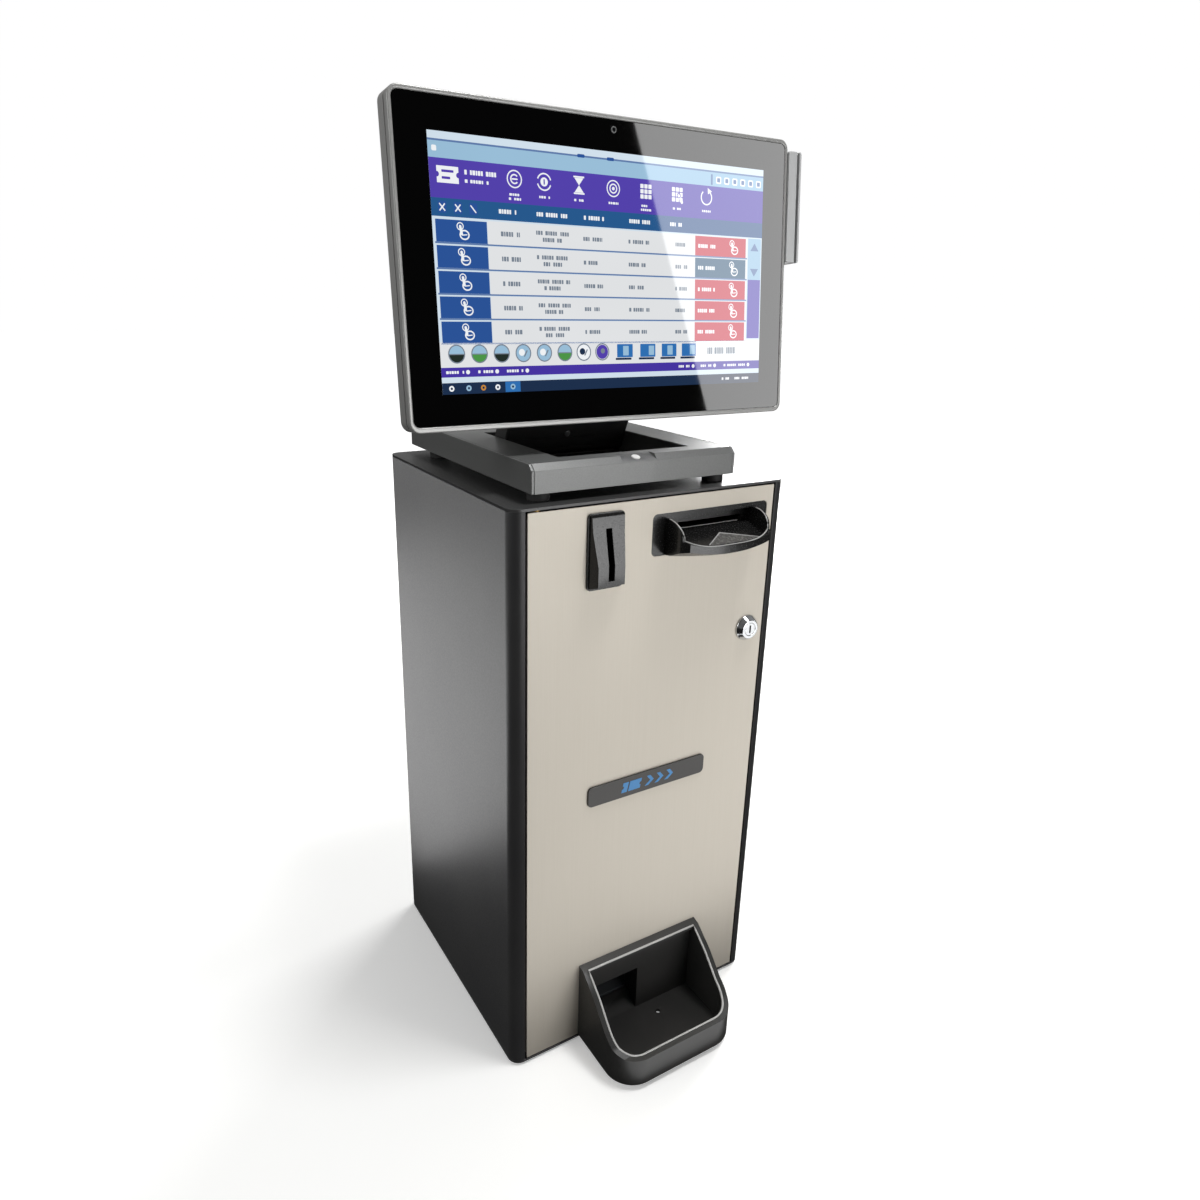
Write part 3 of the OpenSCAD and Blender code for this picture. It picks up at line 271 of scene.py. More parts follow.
def startMaterial(name, settings):
    material = bpy.data.materials.new(name)
    material.use_nodes = True
    tree = material.node_tree
    shader = tree.nodes["Principled BSDF"]
    for key, value in settings.items():
        shader.inputs[key].default_value = value
    where = addNode(tree, "ShaderNodeTexCoord").outputs["Object"]
    return material, tree, shader, where


def grain(tree, where, size, stretch=(1, 1, 1), detail=2.0):
    # noise whose features are about size metres across, drawn out by stretch
    scaled = addNode(tree, "ShaderNodeMapping", {"Scale": [1 / s for s in stretch]}, {"Vector": where})
    return addNode(
        tree, "ShaderNodeTexNoise", {"Scale": 0.5 / size, "Detail": detail, "Roughness": 0.55},
        {"Vector": scaled.outputs["Vector"]},
    ).outputs["Fac"]


def spread(tree, factor, low, high, fromLow=0.3, fromHigh=0.7):
    return addNode(
        tree, "ShaderNodeMapRange",
        {"From Min": fromLow, "From Max": fromHigh, "To Min": low, "To Max": high},
        {"Value": factor},
    ).outputs["Result"]


def blendColours(tree, factor, colours):
    ramp = addNode(tree, "ShaderNodeValToRGB", None, {"Fac": factor})
    stops = ramp.color_ramp.elements
    stops[0].position, stops[1].position = 0.3, 0.7
    stops[0].color, stops[1].color = linear(colours[0]), linear(colours[1])
    return ramp.outputs["Color"]


def raiseSurface(tree, shader, height, depth):
    bump = addNode(tree, "ShaderNodeBump", {"Distance": depth}, {"Height": height})
    tree.links.new(bump.outputs["Normal"], shader.inputs["Normal"])


# Materials, each named for its real finish

def powderCoat(name, colours, roughness, orangePeel=0.8 * mm, sheenDepth=0.02 * mm):
    # polyester powder on sheet steel: an even satin with a fine orange peel that breaks up reflections
    material, tree, shader, where = startMaterial(name, {"IOR": 1.5})
    peel = grain(tree, where, orangePeel)
    cloud = grain(tree, where, 60 * mm)
    tree.links.new(blendColours(tree, cloud, colours), shader.inputs["Base Color"])
    tree.links.new(spread(tree, peel, roughness - 0.04, roughness + 0.05), shader.inputs["Roughness"])
    raiseSurface(tree, shader, peel, sheenDepth)
    return material


def brushedChampagne():
    # anodised aluminium sheet, brushed upright: a warm satin with hair-fine vertical lines
    # the lines are drawn 0.4 mm apart, coarser than the real 0.1 mm, so that they show
    material, tree, shader, where = startMaterial(
        "brushedChampagneAluminium", {"Metallic": 0.25, "Anisotropic": 0.3}
    )
    hair = grain(tree, where, 0.4 * mm, stretch=(1, 1, 90))
    cloud = grain(tree, where, 120 * mm)
    mixed = addNode(tree, "ShaderNodeMix", {"data_type": "FLOAT", 0: 0.35}, {2: hair, 3: cloud}).outputs[0]
    tree.links.new(blendColours(tree, mixed, ("#C6BFB2", "#CBC4B8")), shader.inputs["Base Color"])
    tree.links.new(spread(tree, hair, 0.42, 0.52), shader.inputs["Roughness"])
    raiseSurface(tree, shader, hair, 0.01 * mm)
    return material


def metallicPaint(name, colours, roughness):
    # silver metallic paint on a moulding: tiny flakes make the tone lively without a visible grain
    material, tree, shader, where = startMaterial(name, {"Metallic": 0.3, "Coat Weight": 0.1})
    flake = addNode(
        tree, "ShaderNodeTexVoronoi", {"Scale": 1 / (0.5 * mm)}, {"Vector": where}
    ).outputs["Color"]
    tone = addNode(tree, "ShaderNodeSeparateColor", None, {"Color": flake}).outputs["Red"]
    softTone = spread(tree, tone, 0.35, 0.65, 0, 1)
    tree.links.new(blendColours(tree, softTone, colours), shader.inputs["Base Color"])
    tree.links.new(spread(tree, tone, roughness - 0.03, roughness + 0.04, 0, 1), shader.inputs["Roughness"])
    raiseSurface(tree, shader, grain(tree, where, 0.6 * mm), 0.006 * mm)
    return material


def mouldedPlastic(name, colours, roughness, texture=0.35 * mm, depth=0.02 * mm):
    # injection-moulded ABS or acetal: a fine spark-eroded grain, with slightly uneven gloss
    material, tree, shader, where = startMaterial(name, {"IOR": 1.53})
    spark = grain(tree, where, texture, detail=3)
    tree.links.new(blendColours(tree, grain(tree, where, 25 * mm), colours), shader.inputs["Base Color"])
    tree.links.new(spread(tree, spark, roughness - 0.06, roughness + 0.08), shader.inputs["Roughness"])
    raiseSurface(tree, shader, spark, depth)
    return material


def platedMetal(name, colours, roughness, scratch=1.5 * mm):
    # plated or bare metal: mirror colour with faint handling marks in its gloss
    material, tree, shader, where = startMaterial(name, {"Metallic": 1.0})
    marks = grain(tree, where, scratch, stretch=(1, 4, 1), detail=4)
    tree.links.new(blendColours(tree, marks, colours), shader.inputs["Base Color"])
    tree.links.new(spread(tree, marks, max(roughness - 0.05, 0.03), roughness + 0.07), shader.inputs["Roughness"])
    raiseSurface(tree, shader, marks, 0.003 * mm)
    return material


def circuitBoard():
    # fibreglass board under green solder mask: copper tracks show as lighter lines below the gloss
    material, tree, shader, where = startMaterial("solderMaskGreen", {"IOR": 1.55, "Roughness": 0.3})
    lanes = addNode(
        tree, "ShaderNodeTexBrick",
        {"Scale": 1 / (6 * mm), "Mortar Size": 0.03, "Color1": linear("#1E6B3C"), "Color2": linear("#22743F"),
         "Mortar": linear("#4F9A5A")},
        {"Vector": where},
    )
    tree.links.new(lanes.outputs["Color"], shader.inputs["Base Color"])
    raiseSurface(tree, shader, lanes.outputs["Fac"], 0.03 * mm)
    return material


def blackGlass():
    # float glass printed black behind: deep, even black with a mirror gloss
    material, tree, shader, where = startMaterial(
        "blackBackedGlass", {"IOR": 1.52, "Roughness": 0.025, "Base Color": linear("#060607")}
    )
    wipe = grain(tree, where, 18 * mm, stretch=(3, 1, 1))
    tree.links.new(spread(tree, wipe, 0.018, 0.035), shader.inputs["Roughness"])
    return material


def rubber():
    # moulded nitrile rubber: near black and matt, with a dusty bloom in patches
    material, tree, shader, where = startMaterial("mouldedRubber", {"IOR": 1.52})
    bloom = grain(tree, where, 4 * mm, detail=4)
    tree.links.new(blendColours(tree, bloom, ("#191919", "#262626")), shader.inputs["Base Color"])
    tree.links.new(spread(tree, bloom, 0.62, 0.8), shader.inputs["Roughness"])
    raiseSurface(tree, shader, bloom, 0.03 * mm)
    return material


finishes = {
    "wrap": powderCoat("satinPowderGraphite", ("#333334", "#393939"), 0.42),
    # the top panel has the wrap's powder, painted a shade lighter as painted light on its upward face
    "top": powderCoat("satinPowderGraphitePaintedLitTop", ("#3A3A3A", "#404040"), 0.36),
    "rubber": rubber(),
    "steel": platedMetal("zincPlatedSteel", ("#A9ABAD", "#BFC1C2"), 0.34),
    "bronze": platedMetal("sinteredBronze", ("#9A7C4A", "#B08D56"), 0.42),
    "door": brushedChampagne(),
    "black_plastic": mouldedPlastic("mouldedBlackAbs", ("#272726", "#2D2C2B"), 0.36),
    "polished_black": mouldedPlastic("polishedBlackAbs", ("#161616", "#1B1B1B"), 0.22, 0.6 * mm, 0.006 * mm),
    # painted light: a lighter black standing in for the light that falls on the tray's raised panel
    "painted_lit_black": mouldedPlastic("paintedLitBlackAbs", ("#565654", "#62615F"), 0.25, 1.5 * mm, 0.004 * mm),
    # painted highlight: a pale grey for the beads and ribs along edges, standing in for the light they catch
    "painted_highlight_edge": mouldedPlastic("paintedHighlightEdgeAbs", ("#B4B4B2", "#C2C1BF"), 0.2, 1.5 * mm, 0.003 * mm),
    "hopper_plastic": mouldedPlastic("mouldedBlueAbs", ("#25466E", "#2A4D78"), 0.42),
    "light_plastic": mouldedPlastic("mouldedAcetal", ("#D6D2C6", "#DEDACF"), 0.3),
    "device_plastic": mouldedPlastic("mouldedGraphiteAbs", ("#3A3C3F", "#424447"), 0.45),
    "amber_plastic": mouldedPlastic("mouldedAmberAcetal", ("#C07A28", "#CE8832"), 0.3),
    "red_plastic": mouldedPlastic("mouldedRedAcetal", ("#B0362A", "#BE4234"), 0.3),
    "circuit": circuitBoard(),
    "chrome": platedMetal("polishedChromePlate", ("#D2D4D6", "#E4E6E8"), 0.09),
    "badge": powderCoat("satinBadgeCoat", ("#353331", "#3F3D3B"), 0.38),
    "terminal_grey": metallicPaint("silverMetallicPaint", ("#686968", "#757675"), 0.4),
    "pale_silver": metallicPaint("silverReaderPaint", ("#C4C5C5", "#CFD0D0"), 0.45),
    "bezel_grey": metallicPaint("paleMetallicPaint", ("#9C9C9A", "#AAAAA8"), 0.36),
    "neck_black": powderCoat("fineTexturedBlackPowder", ("#0E0E0E", "#151515"), 0.5, orangePeel=0.5 * mm),
    "glass": blackGlass(),
    "lens": mouldedPlastic("smokedLensPlastic", ("#202225", "#2A2D31"), 0.12),
    "white_plastic": mouldedPlastic("mouldedWhiteAbs", ("#E9E9E6", "#F2F2EF"), 0.28),
}
print("materials", len(bpy.data.materials))


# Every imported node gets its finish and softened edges

edgeRadius = {
    "door_panel": 0.6, "cabinet_wrap": 0.4, "top_panel": 0.5, "bottom_panel": 0.5, "coin_bezel": 0.7,
    "note_bezel": 0.5, "coin_cup": 1.5, "base_housing": 0.7, "base_cheeks": 0.7, "screen_bezel": 1.2,
    "screen_back": 1.0, "card_reader": 0.6, "lock_body": 0.5, "lock_plug": 0.25, "cover_glass": 0.25,
    "badge_plate": 0.5, "base_feet": 0.8, "neck_arm": 0.8, "neck_cover": 0.4, "power_button": 0.35,
    "hopper_bins": 0.6, "note_cassette": 1.0, "note_head": 1.0, "coin_validator": 1.0,
}


# Loose points closer than the weld join, and facets flatter than the angle in degrees become one face
meshCleaning = {"weld": 0.002 * mm, "flat": 0.3}


def finishNode(name, material, radius):
    node = frame["nodes"][name]
    node.data.materials.clear()
    node.data.materials.append(material)
    node.data.normals_split_custom_set([(0, 0, 0)] * len(node.data.loops))
    weld = node.modifiers.new("weld", "WELD")
    weld.merge_threshold = meshCleaning["weld"]
    flat = node.modifiers.new("flat", "DECIMATE")
    flat.decimate_type = "DISSOLVE"
    flat.angle_limit = math.radians(meshCleaning["flat"])
    soften(node, radius)


# the two inlets on the door are polished, and the card reader is paler than the terminal
finishOverrides = {"note_bezel": "polished_black", "coin_bezel": "polished_black", "card_reader": "pale_silver"}
for part in frame["record"]["subparts"]:
    name = part["node"]
    finish = finishOverrides.get(name, part["material_slot"])
    finishNode(name, finishes[finish], edgeRadius.get(name, 0.3) * mm)


# The raised figure on the floor of the banknote tray
# Places are in millimetres: across from the mouth's middle, and out from the door's face

trayFigure = {
    "apex": (2.9, 8.7), "right": (40.3, 23.2), "left": (-20.4, 23.5), "front": ((34, 25.2), (-14, 25.2)),
    "ribWidth": 1.0, "ribHeight": 0.75, "panelHeight": 0.35,
    "sunk": -0.3, "sillWidth": 0.7, "sillHeight": 0.5, "softened": 0.25,
    "floorBack": (-8, 2.1), "floorFront": (25.5, -9.2), "sill": (-37, 37, -6.8),
}


def mouthPlace():
    # the middle of the banknote mouth, across and up, and the door's face
    low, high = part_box("note_bezel")
    return (low.x + high.x) / 2, (low.z + high.z) / 2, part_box("door_panel")[0].y


def makeTrayFigure(settings):
    mouthX, mouthZ, face = mouthPlace()
    front, back = settings["floorFront"], settings["floorBack"]
    slope = math.atan2(back[1] - front[1], front[0] - back[0])
    place = (
        Matrix.Translation((mouthX, face - front[0] * mm, mouthZ + front[1] * mm))
        @ Matrix.Rotation(slope, 4, "X") @ Matrix.Scale(mm, 4)
    )

    def onFloor(point):
        return point[0], (front[0] - point[1]) / math.cos(slope)

    corners = [onFloor(settings[k]) for k in ("left", "apex", "right")]
    outline = corners + [onFloor(p) for p in settings["front"]]
    sunk, softened = settings["sunk"], settings["softened"] * mm
    panel = prism("trayPanel", outline, sunk, settings["panelHeight"], "z", place)
    soften(panel, softened)
    # the panel is painted lighter than the tray's black, as painted light on its face
    dress(panel, finishes["painted_lit_black"], "door")
    parts = []
    for a, b in (corners[:2], corners[1:]):
        rib = strokeOutline(*a, *b, settings["ribWidth"])
        parts.append(prism("rib", rib, sunk, settings["ribHeight"], "z", place))
    x0, x1, out = settings["sill"]
    sill = strokeOutline(*onFloor((x0, out)), *onFloor((x1, out)), settings["sillWidth"])
    parts.append(prism("sill", sill, sunk, settings["sillHeight"], "z", place))
    ribs = merge("trayRibs", parts)
    soften(ribs, softened)
    # the ribs and the sill are pale as painted highlights along them
    dress(ribs, finishes["painted_highlight_edge"], "door")


makeTrayFigure(trayFigure)


# Pale beads along the edges of the banknote tray and of the coin cup: painted highlights, lighter than the faces
# Places are in millimetres: across, out from the door's face, and up from the mouth's middle or the cup's foot

trayEdge = {
    "half": 51.2, "root": (2.6, 14.5), "tip": (23.5, -1.0), "middle": (33.0, -7.7), "inward": 0.7,
    # the ears draw in towards their tips, where the front corners begin
    "drawIn": 2.1, "drawPower": 4, "lipPower": 3.5, "radius": 0.55,
}
cupEdge = {
    "wall": 7.0, "corner": 30, "back": 8.5, "inward": 0.7, "down": 0.6, "radius": 1.15,
    "profile": ((8.5, 86.5), (30, 69), (50, 47), (64, 36), (76, 31), (85, 30)),
}


def makeTrayEdge(settings):
    mouthX, mouthZ, face = mouthPlace()
    half, tip, root, drawIn = (settings[k] for k in ("half", "tip", "root", "drawIn"))

    def ear(side):
        found = []
        for i in range(13):
            angle = math.pi / 2 * i / 12
            out = tip[0] - (tip[0] - root[0]) * (1 - math.cos(angle))
            across = half - drawIn * (out / tip[0]) ** settings["drawPower"]
            found.append((side * across, out, tip[1] + (root[1] - tip[1]) * math.sin(angle)))
        return found

    front, middleZ = settings["middle"][0] - settings["inward"], settings["middle"][1]
    lip = []
    for i in range(-13, 14):
        t = i / 14
        rise = abs(t) ** settings["lipPower"]
        lip.append((t * (half - drawIn), front - (front - tip[0]) * rise, middleZ + (tip[1] - middleZ) * rise))
    path = list(reversed(ear(-1))) + lip + ear(1)
    points = [(mouthX + x * mm, face - out * mm, mouthZ + z * mm) for x, out, z in path]
    edge = bead("trayEdge", points, settings["radius"] * mm)
    # the bead is pale: a painted highlight along the tray's ears and lip
    return dress(edge, finishes["painted_highlight_edge"], "door")


def makeCupEdge(settings):
    low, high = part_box("coin_cup")
    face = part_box("door_panel")[0].y
    inner = settings["wall"] - settings["inward"]
    halfWidth = high.x / mm - inner
    reach = (face - low.y) / mm
    radius = settings["corner"] - inner
    centre = (halfWidth - radius, reach - settings["corner"])

    def height(out):
        for (a, za), (b, zb) in zip(settings["profile"], settings["profile"][1:]):
            if out <= b:
                return za + (zb - za) * (out - a) / (b - a)
        return settings["profile"][-1][1]

    back = settings["back"] - settings["inward"]
    right = [(halfWidth, back + (centre[1] - back) * i / 10) for i in range(11)]
    right += arcPoints(centre, radius, 0, 90, 16)[1:]
    plan = right + [(-x, out) for x, out in reversed(right)]
    points = []
    for x, out in plan:
        z = height(max(out, settings["profile"][0][0])) - settings["down"]
        points.append(((low.x + high.x) / 2 + x * mm, face - out * mm, low.z + z * mm))
    edge = bead("cupEdge", points, settings["radius"] * mm, closed=True)
    # the bead is pale: a painted highlight along the cup's inner rim
    return dress(edge, finishes["painted_highlight_edge"], "door")


makeTrayEdge(trayEdge)
makeCupEdge(cupEdge)
print("tray and cup edges made")


# A plain ticket and three chevrons on the badge plate, in place of a name

badgeSettings = {
    "blue": "#3F86C0", "height": 10.5, "lean": 0.22, "raised": 0.25,
    "stub": (-31, -24.5), "body": (-23, -9), "notch": 1.8, "chevrons": (-3, 9, 21), "stroke": 4.2,
}


def makeBadgeMark(settings):
    low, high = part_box("badge_plate")
    place = Matrix.Translation(((low.x + high.x) / 2, low.y, (low.z + high.z) / 2)) @ Matrix.Scale(mm, 4)
    half = settings["height"] / 2

    def lean(outline):
        return [(x + y * settings["lean"], y) for x, y in outline]

    notch = settings["notch"]
    x0, x1 = settings["stub"]
    stub = [(x0, -half), (x1, -half), (x1, half), (x0, half)] + arcPoints((x0, 0), notch, 90, -90, 8)
    x0, x1 = settings["body"]
    body = [(x0, -half), (x1, -half)] + arcPoints((x1, 0), notch, 270, 90, 8) + [(x1, half), (x0, half)]
    shapes = [stub, body]
    stroke = settings["stroke"]
    for x in settings["chevrons"]:
        shapes.append([
            (x, -half), (x + stroke, -half), (x + stroke + half, 0), (x + stroke, half), (x, half), (x + half, 0)
        ])
    parts = [prism("mark", lean(shape), -settings["raised"], 0.1, "y", place) for shape in shapes]
    mark = merge("badgeMark", parts)
    soften(mark, 0.08 * mm, 2)
    return dress(mark, badgeInk(settings["blue"]), "door")


def badgeInk(colour):
    # screen-printed enamel: flat blue with a soft gloss
    material, tree, shader, where = startMaterial("printedBlueEnamel", {"IOR": 1.5, "Base Color": linear(colour)})
    tree.links.new(spread(tree, grain(tree, where, 1.2 * mm), 0.28, 0.42), shader.inputs["Roughness"])
    return material


makeBadgeMark(badgeSettings)
print("badge mark made")


# The webcam's ring and lens on the face of the glass

webcamSettings = {"height": 114.35, "ring": (2.7, 1.75), "lens": 1.2, "raised": 0.12}


def makeWebcamFace(settings):
    place = screenFrame @ Matrix.Scale(mm, 4)
    centre = (0, settings["height"])
    raised = settings["raised"]
    ring = tube("webcamRing", *settings["ring"], -raised, 0.05, place, centre)
    soften(ring, 0.03 * mm, 2)
    dress(ring, finishes["terminal_grey"], "screen")
    outline = arcPoints(centre, settings["lens"], 0, 360, 32)[:-1]
    lens = prism("webcamLens", outline, -raised * 0.6, 0.05, "y", place)
    soften(lens, 0.04 * mm, 2)
    dress(lens, finishes["glass"], "screen")


makeWebcamFace(webcamSettings)
print("webcam face made")


# The picture on the screen, drawn as flat shapes just in front of the glass
# Places are in millimetres from the picture's upper left corner, x to the right and y down

pictureSettings = {
    "width": 335, "height": 194, "first": 0.03, "layer": 0.03,
    "rowTop": 62, "rowPitch": 18.9, "rowHeight": 16.3, "rows": 5,
    "inks": {
        "white": "#F2F5F8", "paper": "#E4E6E8", "band": "#D3E2EE", "sky": "#9ABFD9", "line": "#5F7BAA",
        "purple": "#5341AC", "tableBlue": "#26598E", "button": "#2A5398", "word": "#7A8593",
        "red": "#C2304A", "slate": "#2F6080", "footer": "#4634A2", "night": "#1C2F4C", "green": "#4C9648",
        "earth": "#222D27", "amber": "#C98A3C", "blue": "#2F70B4",
    },
}
picture = {"points": [], "faces": [], "inks": []}


def paint(outline, ink, layer):
    area = sum(a[0] * b[1] - b[0] * a[1] for a, b in zip(outline, outline[1:] + outline[:1]))
    first = len(picture["points"])
    depth = pictureSettings["first"] + layer * pictureSettings["layer"]
    for x, y in (reversed(outline) if area > 0 else outline):
        picture["points"].append((
            (x - pictureSettings["width"] / 2) * mm, -depth * mm, (pictureSettings["height"] / 2 - y) * mm
        ))
    picture["faces"].append(tuple(range(first, first + len(outline))))
    picture["inks"].append(ink)


def paintBar(x0, y0, x1, y1, ink, layer, radius=0):
    if radius:
        outline = roundedOutline(x1 - x0, y1 - y0, radius, ((x0 + x1) / 2, (y0 + y1) / 2), 4)
    else:
        outline = [(x0, y0), (x1, y0), (x1, y1), (x0, y1)]
    paint(outline, ink, layer)


def paintDisc(x, y, radius, ink, layer, start=0, stop=360, squeeze=1.0):
    points = arcPoints((0, 0), radius, start, stop, 28)
    if stop - start == 360:
        points.pop()
    paint([(x + a, y + b * squeeze) for a, b in points], ink, layer)


def paintRing(x, y, radius, width, ink, layer, start=0, stop=360, squeeze=1.0):
    outer = arcPoints((0, 0), radius, start, stop, 24)
    inner = arcPoints((0, 0), radius - width, start, stop, 24)
    for i in range(24):
        quad = [outer[i], outer[i + 1], inner[i + 1], inner[i]]
        paint([(x + a, y + b * squeeze) for a, b in quad], ink, layer)


def paintStroke(x0, y0, x1, y1, width, ink, layer):
    paint(strokeOutline(x0, y0, x1, y1, width), ink, layer)


def paintWords(x0, x1, y, height, ink, layer, seed):
    # a row of short blocks of uneven width stands for a printed line, with no letters in it
    x, i = x0, seed
    while x < x1 - 0.8:
        i += 1
        width = (1.6, 2.3, 1.3, 2.0, 1.7)[i % 5]
        if (i * 7 + seed) % 6:
            paintBar(x, y - height / 2, min(x + width, x1), y + height / 2, ink, layer, 0.3)
        x += width + 0.5


def paintHand(x, y, ink, back, layer):
    # a pointing hand with a ring round its fingertip
    paintRing(x, y, 3.0, 0.8, ink, layer)
    paintDisc(x + 3.4, y + 6.2, 4.3, ink, layer, squeeze=0.88)
    paintDisc(x + 3.4, y + 6.2, 3.2, back, layer + 1, squeeze=0.84)
    paintStroke(x, y, x + 1.0, y + 5.6, 2.1, ink, layer + 2)
    paintStroke(x + 1.6, y + 6.4, x + 5.4, y + 6.0, 0.8, ink, layer + 2)


def paintHeader():
    width = pictureSettings["width"]
    paintBar(0, 0, width, 194, "band", 0)
    paintBar(0, 5.4, width, 6.8, "line", 1)
    paintBar(0, 6.8, width, 19, "sky", 1)
    for x in (131, 160):
        paintBar(x, 4.6, x + 7, 7.2, "button", 2, 0.8)
    for i in range(6):
        paintBar(278 + 9.6 * i, 10, 284 + 9.6 * i, 16, "white", 2, 1.2)
        paintBar(279.2 + 9.6 * i, 11.2, 282.8 + 9.6 * i, 14.8, "line", 3, 0.8)
    paintBar(272, 8.4, 274, 17.6, "line", 2, 0.8)
    paintBar(3, 10, 7, 14, "white", 2, 1)
    paintBar(0, 18.6, width, 46.8, "purple", 2)
    # a ticket with notched ends, and two bars, stand where a name would be
    ticket = [(6, 24), (24, 24), (24, 28)] + arcPoints((24, 30), 2, 270, 90, 8)
    ticket += [(24, 36), (6, 36), (6, 32)] + arcPoints((6, 30), 2, 90, -90, 8)
    paint(ticket, "white", 3)
    paintBar(10, 26.6, 20, 28.4, "purple", 4, 0.5)
    paintBar(10, 31.4, 17, 33.2, "purple", 4, 0.5)
    paintWords(29, 57, 27, 3.4, "white", 3, 2)
    paintWords(29, 50, 33.4, 2.4, "white", 3, 5)


def paintHeaderIcons():
    y = 28.6
    for i, x in enumerate((72, 99, 132, 166, 200, 234, 267)):
        if i in (0, 3):
            paintRing(x, y, 6.8, 1.0, "white", 3)
        if i == 0:
            paintRing(x, y, 3.8, 1.1, "white", 3, 40, 320)
            paintStroke(x - 2, y, x + 2.4, y, 1.1, "white", 4)
        elif i == 1:
            paintRing(x, y, 6.8, 1.1, "white", 3, 20, 165)
            paintRing(x, y, 6.8, 1.1, "white", 3, 200, 345)
            paintDisc(x, y, 3.4, "white", 3)
            paintBar(x - 0.6, y - 2, x + 0.6, y + 2, "purple", 4)
        elif i == 2:
            paint([(x - 4.4, y - 5.6), (x + 4.4, y - 5.6), (x, y)], "white", 3)
            paint([(x - 4.4, y + 5.6), (x, y), (x + 4.4, y + 5.6)], "white", 3)
            paintBar(x - 5.2, y - 7, x + 5.2, y - 5.8, "white", 3)
            paintBar(x - 5.2, y + 5.8, x + 5.2, y + 7, "white", 3)
        elif i == 3:
            paintRing(x, y, 4, 1.1, "white", 3)
            paintDisc(x, y, 1.4, "white", 3)
        elif i in (4, 5):
            for row in range(3):
                for column in range(3):
                    corner = (x - 6 + 4.2 * column, y - 6 + 4.2 * row)
                    paintBar(corner[0], corner[1], corner[0] + 3.4, corner[1] + 3.4, "white", 3, 0.4)
            if i == 5:
                paintStroke(x + 2, y + 1, x + 5, y + 6, 2.6, "white", 4)
                paintRing(x + 1.6, y + 0.6, 2.2, 0.7, "purple", 5)
        else:
            paintRing(x, y, 6.6, 1.2, "white", 3, 300, 590)
            paint([(x + 1.4, y - 8.2), (x + 6.2, y - 5.4), (x + 1.6, y - 2.8)], "white", 3)
        paintWords(x - 5, x + 5, 40.2, 1.8, "white", 3, i)
        if i in (0, 4):
            paintWords(x - 5.6, x + 5.6, 43.4, 1.8, "white", 3, i + 2)


def paintTable():
    top, pitch, height = (pictureSettings[k] for k in ("rowTop", "rowPitch", "rowHeight"))
    paintBar(0, 46.8, 335, 60, "tableBlue", 2)
    for i, x in enumerate((9, 22, 35)):
        paintBar(x - 3.4, 49, x + 3.4, 57.4, "button", 3, 0.8)
        paintStroke(x - 2, 51, x + 2, 55.6, 1.0, "white", 4)
        if i != 2:
            paintStroke(x + 2, 51, x - 2, 55.6, 1.0, "white", 4)
    for i, (x0, x1) in enumerate(((57, 73), (91, 121), (136, 156), (182, 204), (226, 240))):
        paintWords(x0, x1, 53.4, 3.2, "white", 3, i)
    for row in range(pictureSettings["rows"]):
        ink = "slate" if row == 1 else "red"
        y0 = top + pitch * row
        y1 = y0 + height
        paintBar(1.5, y1, 317, y1 + 1.4, "line", 1)
        paintBar(46.5, y0 - 0.8, 317, y1 + 0.2, "paper", 2)
        paintBar(2.5, y0, 46, y1, "button", 3)
        paintHand(23, y0 + 4.4, "white", "button", 4)
        middle = (y0 + y1) / 2
        paintWords(58, 75, middle, 3.6, "word", 3, row)
        paintWords(90, 121, middle - 2.6, 3.2, "word", 3, row + 1)
        paintWords(96, 114, middle + 2.6, 3.2, "word", 3, row + 3)
        paintWords(135, 154 - row % 2 * 4, middle, 3.2, "word", 3, row + 4)
        paintWords(181, 203 - row % 3 * 3, middle, 3.2, "word", 3, row + 2)
        paintWords(232, 246, middle, 3.2, "word", 3, row + 6)
        paintBar(254.5, y0 - 0.4, 315, y1 + 0.2, ink, 3)
        paintWords(258, 278, middle, 3.2, "white", 4, row)
        paintHand(298, y0 + 4.4, "white", ink, 4)
    paintBar(318, 61, 334, 152, "sky", 1)
    paintBar(318.5, 98, 334, 152, "purple", 2)
    paint([(321, 72), (331, 72), (326, 65)], "line", 2)
    paint([(321, 88), (331, 88), (326, 95)], "line", 2)


